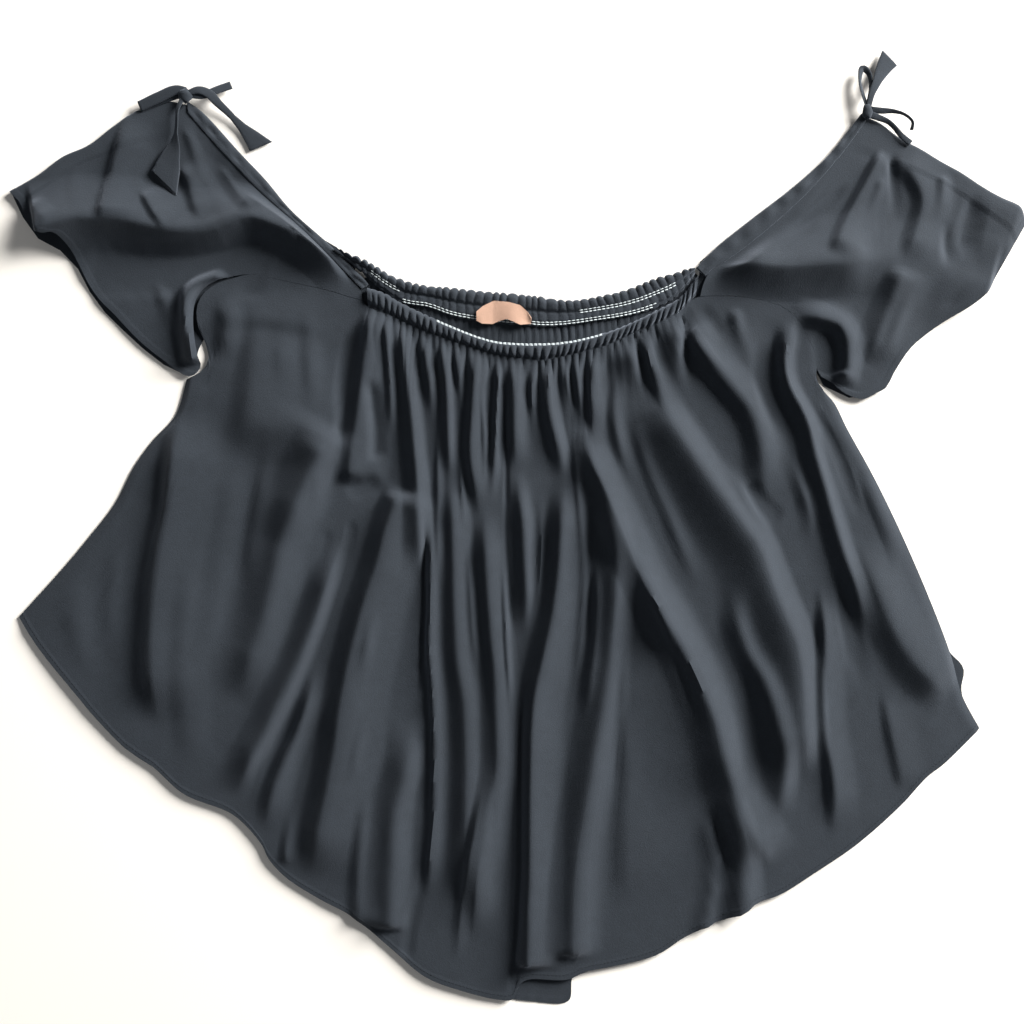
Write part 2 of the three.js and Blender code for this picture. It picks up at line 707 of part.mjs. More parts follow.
// Height of the front layer's middle over the surface: its loft, lifted and sunk by the folds, and never lower
// than where it rests on the back layer.
function frontHeight(x, y, loft = FRONT_LOFT) {
  const free = allFolds.reduce((sum, fold) => sum + foldLift(fold, x, y), loft) - FRONT_LOWEST;
  return FRONT_LOWEST + SETTLE * Math.log1p(Math.exp(free / SETTLE));
}

// A grid in plan between two edges, through lines that run from the one to the other.
function planGrid(lines, startEdge, endEdge, stations) {
  const start = curveThrough(startEdge);
  const end = curveThrough(endEdge);
  const curves = lines.map(({ path }) => curveThrough(path));
  const grid = [];
  lines.forEach(({ columns }, i) => {
    const count = Math.max(columns, 1);
    const next = Math.min(i + 1, lines.length - 1);
    const [a, b] = [curves[i], curves[next]];
    const [sa, sb] = [start.nearest(a.at(0)), start.nearest(b.at(0))];
    const [ea, eb] = [end.nearest(a.at(1)), end.nearest(b.at(1))];
    for (let k = 0; k < count; k++) {
      const w = k / count;
      const first = start.at(sa + (sb - sa) * w).sub(a.at(0).lerp(b.at(0), w));
      const last = end.at(ea + (eb - ea) * w).sub(a.at(1).lerp(b.at(1), w));
      grid.push(stations.map((s) => {
        const middle = a.at(s).lerp(b.at(s), w);
        return middle.addScaledVector(first, (1 - s) ** 2).addScaledVector(last, s ** 2);
      }));
    }
  });
  return grid;
}
function evenly(count) {
  return Array.from({ length: count + 1 }, (_, i) => i / count);
}

// The two triangles of a grid's cell, split along its shorter diagonal, as places in the grid.
function splitCell(grid, i, j) {
  const [p, q, r, s] = [[i, j], [i + 1, j], [i + 1, j + 1], [i, j + 1]];
  const straight = grid[i][j].distanceTo(grid[i + 1][j + 1]) < grid[i + 1][j].distanceTo(grid[i][j + 1]);
  return straight ? [[p, q, r], [p, r, s]] : [[q, r, s], [q, s, p]];
}

// A closed solid from two grids of points, the outer and the inner face of a wall, joined round the rim.
function wallBetween(outer, inner) {
  const [rows, columns] = [outer.length, outer[0].length];
  const positions = [...outer.flat(), ...inner.flat()].flatMap((p) => [p.x, p.y, p.z]);
  const index = [];
  const id = (layer, i, j) => layer * rows * columns + i * columns + j;
  const quad = (a, b, c, d) => index.push(a, b, c, a, c, d);
  for (let i = 0; i < rows - 1; i++) {
    for (let j = 0; j < columns - 1; j++) {
      for (const [a, b, c] of splitCell(outer, i, j)) {
        index.push(id(0, ...a), id(0, ...b), id(0, ...c));
        index.push(id(1, ...a), id(1, ...c), id(1, ...b));
      }
    }
  }
  for (let j = 0; j < columns - 1; j++) {
    quad(id(0, 0, j + 1), id(1, 0, j + 1), id(1, 0, j), id(0, 0, j));
    quad(id(0, rows - 1, j), id(1, rows - 1, j), id(1, rows - 1, j + 1), id(0, rows - 1, j + 1));
  }
  for (let i = 0; i < rows - 1; i++) {
    quad(id(0, i, 0), id(1, i, 0), id(1, i + 1, 0), id(0, i + 1, 0));
    quad(id(0, i + 1, columns - 1), id(1, i + 1, columns - 1), id(1, i, columns - 1), id(0, i, columns - 1));
  }
  return closedGeometry(positions, index);
}

// A solid whose section, a closed ring of points, is repeated along a run and capped at both ends.
function loftRings(rings) {
  const sides = rings[0].length;
  const positions = rings.flat().flatMap((p) => [p.x, p.y, p.z]);
  const index = [];
  for (let i = 0; i < rings.length - 1; i++) {
    for (let j = 0; j < sides; j++) {
      const [a, b] = [i * sides + j, i * sides + ((j + 1) % sides)];
      index.push(a, b, b + sides, a, b + sides, a + sides);
    }
  }
  const last = (rings.length - 1) * sides;
  for (let j = 1; j < sides - 1; j++) {
    index.push(0, j + 1, j);
    index.push(last, last + j, last + j + 1);
  }
  return closedGeometry(positions, index);
}

// Faces turned outwards.
function closedGeometry(positions, index) {
  let volume = 0;
  for (let i = 0; i < index.length; i += 3) {
    const [a, b, c] = [0, 1, 2].map((k) => new THREE.Vector3().fromArray(positions, 3 * index[i + k]));
    volume += a.dot(b.cross(c));
  }
  if (volume < 0) {
    for (let i = 0; i < index.length; i += 3) [index[i + 1], index[i + 2]] = [index[i + 2], index[i + 1]];
  }
  const geometry = new THREE.BufferGeometry();
  geometry.setAttribute('position', new THREE.Float32BufferAttribute(positions, 3));
  geometry.setIndex(index);
  return geometry;
}

// A cloth wall of even thickness on each side of a grid of middle points.
function clothWall(grid) {
  const normals = grid.map((row) => row.map(() => new THREE.Vector3()));
  for (let i = 0; i < grid.length - 1; i++) {
    for (let j = 0; j < grid[0].length - 1; j++) {
      for (const corners of splitCell(grid, i, j)) {
        const [a, b, c] = corners.map(([m, n]) => grid[m][n].clone());
        const facing = b.sub(a).cross(c.sub(a));
        corners.forEach(([m, n]) => normals[m][n].add(facing));
      }
    }
  }
  normals.flat().forEach((normal) => normal.setLength(CLOTH / 2));
  const offset = (side) => grid.map((row, i) => (
    row.map((p, j) => p.clone().addScaledVector(normals[i][j], side))
  ));
  return wallBetween(offset(1), offset(-1));
}

function frontBody() {
  const grid = planGrid(FRONT_LINES, FRONT.top, FRONT.hem, evenly(FRONT_ROWS));
  grid.forEach((line) => line.forEach((p) => p.setZ(frontHeight(p.x, p.y))));
  return clothWall(grid);
}

function backBody() {
  const grid = planGrid(BACK_LINES, BACK.top, BACK.hem, evenly(BACK_ROWS));
  grid.forEach((line) => line.forEach((p) => p.setZ(BACK_MIDDLE)));
  return clothWall(grid);
}

// A sleeve lies folded along its top edge: its front layer from the seam up to the fold, a round turn, and its
// back layer down to the back seam.
function sleeve(cut) {
  const stations = evenly(SLEEVE_STATIONS);
  const lines = cut.frontRows.map(({ path, rows }) => ({ path, columns: rows }));
  const front = planGrid(lines, cut.hem, cut.neck, stations);
  front.forEach((row, i) => {
    const loft = i < front.length - TURN_LOFT_ROWS ? FRONT_LOFT : FOLD_LOFT;
    row.forEach((p) => p.setZ(frontHeight(p.x, p.y, loft)));
  });
  const fold = front[front.length - 1];
  const backLines = [
    { path: cut.frontRows[cut.frontRows.length - 1].path, columns: SLEEVE_BACK_ROWS },
    { path: cut.backSeam, columns: 0 },
  ];
  const back = planGrid(backLines, cut.backHem, cut.backNeck, stations);
  back.forEach((row) => row.forEach((p) => p.setZ(BACK_MIDDLE)));
  const turn = evenly(TURN_STEPS + 1).slice(1, -1).map((share) => fold.map((p, j) => {
    const radius = (p.z - BACK_MIDDLE) / 2;
    const reach = radius * Math.sin(Math.PI * share);
    const height = BACK_MIDDLE + radius * (1 + Math.cos(Math.PI * share));
    const q = p.clone().lerp(back[0][j], share);
    return new THREE.Vector3(q.x + cut.outward[0] * reach, q.y + cut.outward[1] * reach, height);
  }));
  return clothWall([...front, ...turn, ...back]);
}

// A band between two edges whose section is repeated at each station; wave lifts and swells it.
function band({ upper, lower, across }, count, bottom, height, wave) {
  const [top, low] = [curveThrough(upper), curveThrough(lower)];
  const rings = evenly(count).map((t) => {
    const swell = wave(t);
    const [a, b] = [top.at(t), low.at(t)];
    const width = a.distanceTo(b);
    return across.map(([share, rise]) => {
      const p = a.clone().lerp(b, share - (swell * Math.sign(0.5 - share)) / width / 2);
      return p.setZ(bottom + rise * (height + swell * (rise > 0.4 ? 1 : 0)));
    });
  });
  return loftRings(rings);
}
function gatheredCasing(edges) {
  const { steps } = curveThrough(edges.upper);
  const length = steps.slice(1).reduce((sum, p, i) => sum + p.distanceTo(steps[i]), 0);
  const count = Math.round(length / GATHER_PITCH);
  const { main, uneven, unevenRate, sink } = GATHER_WAVE;
  return band(edges, 2 * count, UNDER_CASING, CASING_HEIGHT, (t) => {
    const phase = Math.PI * (1 + 2 * count * t);
    return GATHER_DEPTH * (main * Math.cos(phase) + uneven * Math.sin(unevenRate * t) - sink);
  });
}
function shoulderCasing({ outer, inner }) {
  const edges = { upper: outer, lower: inner, across: STRIP_ACROSS };
  return band(edges, STRIP_STATIONS, UNDER_CASING, STRIP_HEIGHT, () => 0);
}

// A bow: flat runs of tape that leave a rounded knot.
const TAPE_STEPS = 5;
const TAPE_SIGHT = 0.02;
const TAPE_SIDES = [[-1, 0], [-0.6, 1], [0.6, 1], [1, 0], [0.6, -1], [-0.6, -1]];
function tape({ path, width }) {
  const line = curveThrough(path);
  const steps = TAPE_STEPS * (path.length > 4 ? 2 : 1);
  return loftRings(evenly(steps).map((t) => {
    const here = line.at(t);
    const ahead = line.at(t + TAPE_SIGHT).sub(line.at(t - TAPE_SIGHT)).setZ(0).normalize();
    const place = t * (width.length - 1);
    const i = Math.min(Math.floor(place), width.length - 2);
    const half = THREE.MathUtils.lerp(width[i], width[i + 1], place - i) / 2;
    return TAPE_SIDES.map(([u, v]) => new THREE.Vector3(
      here.x - ahead.y * u * half,
      here.y + ahead.x * u * half,
      here.z + (v * TIE_THICKNESS) / 2,
    ));
  }));
}
function knotBall([x, y, z]) {
  const ball = new THREE.SphereGeometry(0.5, ...KNOT_FACETS);
  ball.scale(...KNOT_SIZE);
  ball.translate(x, y, z);
  return ball;
}
function manifoldOf(geometry) {
  const bare = geometry.clone();
  bare.deleteAttribute('normal');
  bare.deleteAttribute('uv');
  const merged = mergeVertices(bare, 1e-4);
  return new wasm.Manifold(new wasm.Mesh({
    numProp: 3,
    vertProperties: new Float32Array(merged.attributes.position.array),
    triVerts: new Uint32Array(merged.index.array),
  }));
}
function geometryOf(manifold) {
  const mesh = manifold.getMesh();
  const geometry = new THREE.BufferGeometry();
  geometry.setAttribute('position', new THREE.Float32BufferAttribute(mesh.vertProperties, 3));
  geometry.setIndex([...mesh.triVerts]);
  return geometry;
}
function bow({ knot, runs }) {
  const solids = [knotBall(knot), ...runs.map(tape)].map(manifoldOf);
  return geometryOf(solids.reduce((all, solid) => all.add(solid)));
}

// The label lies on the back casing's inner face, a little proud of its gathers.
function label(cut) {
  const face = (up) => evenly(cut.columns).map((u) => evenly(cut.rows).map((v) => {
    const x = THREE.MathUtils.lerp(cut.left, cut.right, u);
    const y = THREE.MathUtils.lerp(cut.bottom, cut.top, v) + cut.tilt * (u - 0.5);
    const rest = THREE.MathUtils.lerp(cut.low, cut.high, v) + cut.ripple * Math.sin(3 * Math.PI * u) ** 2;
    return new THREE.Vector3(x, y, rest + up * cut.thickness);
  }));
  return wallBetween(face(1), face(0));
}

const top = new THREE.Group();
function place(name, geometry, color = CLOTH_COLOUR, roughness = 0.95) {
  const mesh = new THREE.Mesh(geometry, new THREE.MeshStandardMaterial({ color, roughness, metalness: 0 }));
  mesh.name = name;
  top.add(mesh);
}
place('front_body', frontBody());
place('back_body', backBody());
place('sleeve_left', sleeve(SLEEVE_LEFT));
place('sleeve_right', sleeve(SLEEVE_RIGHT));
place('neck_casing_front', gatheredCasing(CASING_FRONT));
place('neck_casing_back', gatheredCasing(CASING_BACK));
place('shoulder_casing_left', shoulderCasing(STRIP_LEFT));
place('shoulder_casing_right', shoulderCasing(STRIP_RIGHT));
place('tie_left', bow(TIE_LEFT));
place('tie_right', bow(TIE_RIGHT));
place('neck_label', label(LABEL), LABEL_COLOUR, 0.5);

export default top;
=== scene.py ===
"""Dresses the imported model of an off-shoulder swing top that lies flat: thin soft cloth with its folds,
gathered neck casings, flutter sleeves, shoulder casings, tied bows, seams, stitching and a plain ribbon label.

Tables are in millimetres, in the model's own frame. +X is to the right as seen from above, +Y towards the
shoulders, +Z up from the floor.
"""

import math
from typing import NamedTuple

import bpy
import numpy as np
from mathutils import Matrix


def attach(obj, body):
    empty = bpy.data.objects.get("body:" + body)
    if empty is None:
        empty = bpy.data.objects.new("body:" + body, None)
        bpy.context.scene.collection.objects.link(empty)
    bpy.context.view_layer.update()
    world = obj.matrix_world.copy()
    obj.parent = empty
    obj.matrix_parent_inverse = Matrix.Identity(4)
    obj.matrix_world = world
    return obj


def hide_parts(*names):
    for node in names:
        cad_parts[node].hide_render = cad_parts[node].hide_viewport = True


bl_info = {
    "name": "Swing top laid flat",
    "version": (1, 0, 0),
    "blender": (4, 5, 0),
    "location": "3D View > Sidebar > Swing top",
    "description": "Builds the cloth, casings, ties and stitching of a swing top around its model",
    "category": "Object",
}

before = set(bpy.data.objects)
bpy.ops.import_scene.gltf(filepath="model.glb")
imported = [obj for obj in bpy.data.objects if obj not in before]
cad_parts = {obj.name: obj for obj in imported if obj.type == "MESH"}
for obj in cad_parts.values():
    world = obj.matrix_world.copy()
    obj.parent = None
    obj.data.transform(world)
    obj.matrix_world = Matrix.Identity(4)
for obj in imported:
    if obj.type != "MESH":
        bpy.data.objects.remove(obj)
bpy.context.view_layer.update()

MM = 0.001

# The solids' cloth and the gap between two layers, and with them the lowest middle of the front layer and the
# underside of the casings.
CLOTH = 1.2
GAP = 0.3
FRONT_LOWEST = CLOTH + GAP + CLOTH / 2
UNDER_CASING = CLOTH + GAP

# How high the front layer lies without its folds, how high a sleeve turns over, and how softly both settle.
FRONT_LOFT = 3.4
FOLD_LOFT = 4.2
SETTLE = 0.9

# How far the body and the sleeves keep from the line of the seam between them.
SEAM_GAP = 0.04
SEAM_INSET = 0.25
BODY_SIDE = (-0.5 * SEAM_GAP, -1.4 * SEAM_GAP - SEAM_INSET)
SLEEVE_SIDE = (0.5 * SEAM_GAP, 0.4 * SEAM_GAP - SEAM_INSET)


class Fold(NamedTuple):
    """A soft ridge, or a trough where rise is below nought, along a path. Its flanks are as seen by someone who
    walks from its first point to its last. It fades in over start and out over end, widens by spread, and its
    crest is rounded over a share of its flanks."""

    rise: float
    right: float
    left: float
    path: list
    start: float = 45
    end: float = 45
    spread: float = 1.25
    crest: float = 0.22


class Unevenness(NamedTuple):
    """Soft seeded unevenness: its size, its wavelength, its seed, and how far it is drawn out along Y."""

    size: float
    wavelength: float
    seed: int
    stretch: float = 1.0


class Stitch(NamedTuple):
    """Sizes of one stitch, and the space to the next."""

    length: float
    space: float
    width: float
    height: float


def moved(points, shift):
    """Points in plan, all moved by the same way."""
    return [(x + shift[0], y + shift[1]) for x, y in points]


# The seams between the body and the sleeves in plan, from left to right.
SEAM_LEFT = [(-213, 202.8), (-185, 197.4), (-150, 189.6), (-131, 183.8), (-122.5, 181.6)]

SEAM_RIGHT = [
    (146.6, 184.8), (158, 185.2), (175, 184.8), (200, 181), (214, 175.8), (224.6, 166), (231.4, 155),
    (238, 141.4), (240, 128), (239.2, 120),
]

# Outlines of the front panel, of the back panel and of the sleeves, each as its edges in plan.
FRONT = {
    "left": [
        (-263, 118.6), (-272, 90), (-290, 70), (-305, 49), (-320, 20), (-340, -6), (-360, -30),
        (-397, -71),
    ],
    "right": [
        (245, 109.5), (254, 100), (264, 80), (285, 42), (307, -3), (330, -56), (347, -101), (356, -133),
        (370, -160),
    ],
    "top": [
        (-263, 118.6), (-254, 123), (-246.8, 130), (-245, 138), (-247.4, 147), (-254, 163), (-254, 178),
        (-248, 188.5), (-239, 195), (-227, 198.8), *moved(SEAM_LEFT, BODY_SIDE), (-118.5, 176.6),
        (-100, 169), (-85, 162), (-70, 156), (-55, 150), (-42, 146), (-28, 141.6), (-14, 137.6),
        (0, 135.6), (20, 133.8), (38, 137), (55, 140.8), (75, 146.6), (90, 153.6), (110, 161.6),
        (125, 168.6), (134, 175.6), (140, 181.6), *moved(SEAM_RIGHT, BODY_SIDE), (245, 109.5),
    ],
    "hem": [
        (-397, -71), (-380, -97), (-353, -130), (-333, -154), (-309, -178), (-290, -190), (-265, -212),
        (-225, -229), (-203, -252), (-197, -264), (-183, -279), (-158, -295), (-130, -310), (-100, -335),
        (-72, -358), (-40, -370), (-15, -376), (-3, -376), (3, -364), (10, -360), (41, -360), (55, -354),
        (75, -350), (113, -340), (133, -327), (149, -319), (157, -315), (180, -306), (190, -299),
        (210, -292.5), (240, -274), (272, -252), (308, -220), (328, -198), (340, -189), (370, -160),
    ],
}

BACK = {
    "left": [
        (-262, 117.5), (-270, 90), (-288, 69), (-303, 48), (-318, 19), (-338, -7), (-358, -31),
        (-394, -72),
    ],
    "right": [
        (244, 108), (252, 99), (262, 79), (283, 41), (305, -4), (328, -57), (346, -98), (358, -112),
        (356, -130), (367, -160),
    ],
    "top": [
        (-262, 117.5), (-246, 129), (-243, 140), (-232, 160), (-190, 182), (-150, 188), (-127, 193.4),
        (-121.5, 199), (-115, 202), (-104, 194), (-90, 186), (-70, 182), (-50, 175), (-30, 171.6),
        (0, 168.6), (25, 167), (45, 168.6), (65, 171.6), (85, 174.6), (100, 178), (114, 183), (126, 191),
        (136, 199), (142, 204), (149, 198), (160, 189), (178, 181), (205, 171), (222, 158), (233, 140),
        (239, 122), (244, 108),
    ],
    "hem": [
        (-394, -72), (-377, -97), (-350, -129), (-307, -175), (-263, -209), (-222, -226), (-200, -250),
        (-180, -275), (-128, -306), (-98, -331), (-70, -355), (-38, -367), (-10, -375), (10, -378),
        (42, -378), (46, -358), (75, -347), (113, -337), (133, -324), (152, -317), (172, -311),
        (184, -303), (190, -296), (210, -289), (240, -271), (272, -249), (306, -218), (326, -196),
        (340, -186), (367, -160),
    ],
}

SLEEVE_LEFT = {
    "hem": [
        (-256.5, 122.3), (-262, 121), (-280, 133), (-300, 149), (-320, 170), (-332, 182), (-340, 193),
        (-350, 213), (-357, 226), (-365, 233.5), (-374, 233), (-382, 236), (-390, 245), (-396, 260),
        (-403, 267),
    ],
    "neck": [
        (-122.3, 181.7), (-124.6, 191), (-132, 198.6), (-149, 217.6), (-170, 239), (-200, 266),
        (-232, 299), (-262, 336),
    ],
    "back_hem": [
        (-403, 267), (-399, 256), (-391, 244), (-378, 227), (-371, 223), (-362, 221), (-352, 210),
        (-342, 191), (-331, 175), (-317, 161), (-300, 145), (-285, 133), (-272, 124.6), (-263, 121.6),
    ],
    "front_rows": [
        ([
            (-256.5, 122.3), (-251.5, 128), (-253.5, 139), (-256, 152), (-257.5, 165), (-256.5, 179),
            (-250, 190.5), (-240, 197.2), (-228, 200.8), *moved(SEAM_LEFT, SLEEVE_SIDE),
        ], 5),
        ([
            (-340, 193), (-300, 206), (-260, 210), (-225, 220), (-195, 229), (-160, 215), (-126, 196.6),
        ], 3),
        ([
            (-366, 238), (-340, 245), (-310, 243), (-270, 235), (-240, 236), (-210, 246), (-190, 240),
            (-165, 229), (-148, 215), (-133, 202),
        ], 4),
        ([(-384, 237), (-352, 266), (-312, 285), (-272, 283), (-232, 268), (-195, 261.4)], 4),
        ([
            (-403, 267), (-380, 280), (-360, 295), (-340, 304), (-320, 319), (-300, 332), (-281, 339),
            (-262, 336),
        ], 0),
    ],
    "back_seam": [
        (-263, 121.6), (-256, 130), (-254, 142), (-240, 163), (-192, 185), (-150, 191), (-129, 196),
    ],
    "back_neck": [
        (-129, 196), (-122, 203.6), (-132.5, 214), (-146, 226.4), (-153, 228.6), (-180, 253.6),
        (-200, 277.6), (-220, 298.6), (-248, 326), (-262, 336),
    ],
    "outward": (-0.5, 0.87),
}

SLEEVE_RIGHT = {
    "hem": [
        (243.4, 120.6), (250, 117), (263, 107), (277, 103), (288, 108), (295, 112), (302, 125),
        (314, 143), (329, 156), (342, 165), (362, 177), (374, 187), (382, 200), (391, 217), (405, 241),
    ],
    "neck": [
        (146.8, 184.9), (150, 196), (156, 206.6), (168, 214), (196, 235), (232, 268), (259, 299),
        (278, 326.5),
    ],
    "back_hem": [
        (405, 241), (390, 218), (381, 201), (373, 188), (361, 178), (341, 166), (328, 157), (313, 144),
        (301, 126), (294, 111), (287, 107), (277, 102), (262, 106), (254, 111.6), (246, 113.6),
    ],
    "front_rows": [
        ([(243.4, 120.6), *moved(SEAM_RIGHT[:-1], SLEEVE_SIDE)[::-1]], 3),
        ([
            (263, 107), (256, 130), (254, 150), (244, 163), (226, 175), (205, 186), (175, 195),
            (150, 196),
        ], 3),
        ([
            (295, 112), (276, 140), (268, 158), (256, 174), (235, 188), (210, 197), (180, 203),
            (153, 203),
        ], 3),
        ([
            (362, 177), (340, 200), (310, 213), (280, 212), (255, 209), (235, 207), (200, 209),
            (168, 214),
        ], 4),
        ([(382, 200), (356, 234), (324, 254), (294, 262), (262, 264), (228, 264)], 4),
        ([
            (405, 241), (400, 251), (385, 260), (355, 281), (335, 292), (318, 302), (303, 311),
            (290, 321), (278, 326.5),
        ], 0),
    ],
    "back_seam": [
        (246, 113.6), (238, 130), (234, 147), (224, 162.4), (207, 174), (180, 183.4), (163, 190.4),
        (146, 197),
    ],
    "back_neck": [
        (146, 197), (141.6, 206), (146, 211.6), (160, 223.8), (190, 247.8), (220, 270.8), (250, 297.8),
        (267, 315), (278, 327),
    ],
    "outward": (0.5, 0.87),
}

# Lines from the neck to the hem that the columns of the cloth follow, each with the columns up to the next.
FRONT_LINES = [
    (FRONT["left"], 3),
    ([(-246.8, 130), (-250, 112), (-259, 88), (-280, 0), (-290, -80), (-288, -150), (-290, -190)], 2),
    ([
        (-254, 178), (-238, 163), (-230, 140), (-232, 112), (-240, 74), (-248, 30), (-258, -40),
        (-262, -120), (-262, -213),
    ], 2),
    ([
        (-213, 201), (-206, 150), (-206, 100), (-212, 50), (-223, 0), (-236, -80), (-240, -150),
        (-232, -227),
    ], 3),
    ([
        (-160, 190.4), (-170, 140), (-166, 90), (-166, 50), (-182, -15), (-196, -75), (-215, -125),
        (-222, -180), (-212, -240),
    ], 3),
    ([
        (-121, 177.8), (-131, 120), (-141, 80), (-139, 20), (-142, -10), (-152, -45), (-165, -85),
        (-185, -135), (-205, -190), (-201, -256),
    ], 2),
    ([
        (-116, 175.4), (-124, 120), (-132, 60), (-131, 20), (-135, -20), (-146, -60), (-158, -105),
        (-174, -160), (-192, -215), (-193, -269),
    ], 6),
    ([
        (-93, 165.6), (-90, 120), (-90, 60), (-97, 10), (-110, -35), (-122, -80), (-136, -130),
        (-142, -180), (-153, -235), (-160, -294),
    ], 5),
    ([
        (-75, 158), (-80, 120), (-78, 60), (-75, 0), (-77, -60), (-82, -130), (-90, -200), (-98, -260),
        (-103, -333),
    ], 5),
    ([
        (-55, 150), (-54, 120), (-53, 60), (-50, 0), (-48, -60), (-44, -120), (-41, -200), (-44, -280),
        (-52, -366),
    ], 5),
    ([
        (-28, 141.6), (-27, 100), (-25, 50), (-23, 0), (-20, -80), (-15, -150), (-21, -220), (-31, -290),
        (-33, -372),
    ], 5),
    ([
        (0, 135.6), (-1, 100), (1, 50), (4, 0), (4, -60), (2, -110), (-1, -160), (-1, -230), (-2, -300),
        (-2, -374),
    ], 4),
    ([
        (28, 134.6), (30, 100), (37, 50), (37, 0), (31, -60), (21, -110), (14, -180), (12, -260),
        (9, -330), (14, -360),
    ], 5),
    ([
        (50, 139.6), (51, 110), (54, 60), (65, 30), (76, -10), (77, -60), (71, -130), (60, -200),
        (48, -270), (46, -358),
    ], 6),
    ([
        (62, 142.6), (60, 110), (64, 64), (75, 28), (99, -38), (130, -92), (153, -145), (160, -180),
        (173, -225), (196, -297),
    ], 6),
    ([
        (100, 157.6), (109, 120), (119, 92), (142, 55), (165, 20), (190, -15), (209, -65), (222, -100),
        (230, -180), (246, -271),
    ], 4),
    ([
        (130, 172.6), (136, 157), (153, 132), (174, 110), (188, 92), (197, 68), (204, 40), (222, -10),
        (242, -60), (258, -140), (286, -241),
    ], 4),
    ([
        (175, 183.6), (197, 160), (206, 130), (212, 100), (224, 70), (234, 40), (249, 0), (266, -40),
        (290, -110), (318, -209),
    ], 2),
    ([
        (220, 168.8), (214, 150), (214, 130), (219, 110), (228, 92), (240, 60), (256, 20), (276, -30),
        (302, -90), (343, -187),
    ], 3),
    ([
        (239.8, 124), (239.5, 110), (246, 92), (257, 68), (280, 22), (300, -30), (325, -90), (343, -135),
        (358, -171),
    ], 1),
    (FRONT["right"], 0),
]

BACK_LINES = [
    (BACK["left"], 2),
    ([(-190, 182), (-215, 0), (-250, -213)], 3),
    ([(-104, 193), (-125, 0), (-150, -293)], 4),
    ([(-30, 171.6), (-32, 0), (-38, -367)], 3),
    ([(35, 167.6), (44, -100), (42, -378)], 1),
    ([(45, 168.6), (52, -100), (46, -358)], 4),
    ([(126, 190), (150, 0), (184, -303)], 3),
    ([(205, 171), (250, 0), (306, -218)], 2),
    ([(233, 140), (234, 112), (252, 70), (286, 0), (330, -100), (352, -174)], 1),
    (BACK["right"], 0),
]

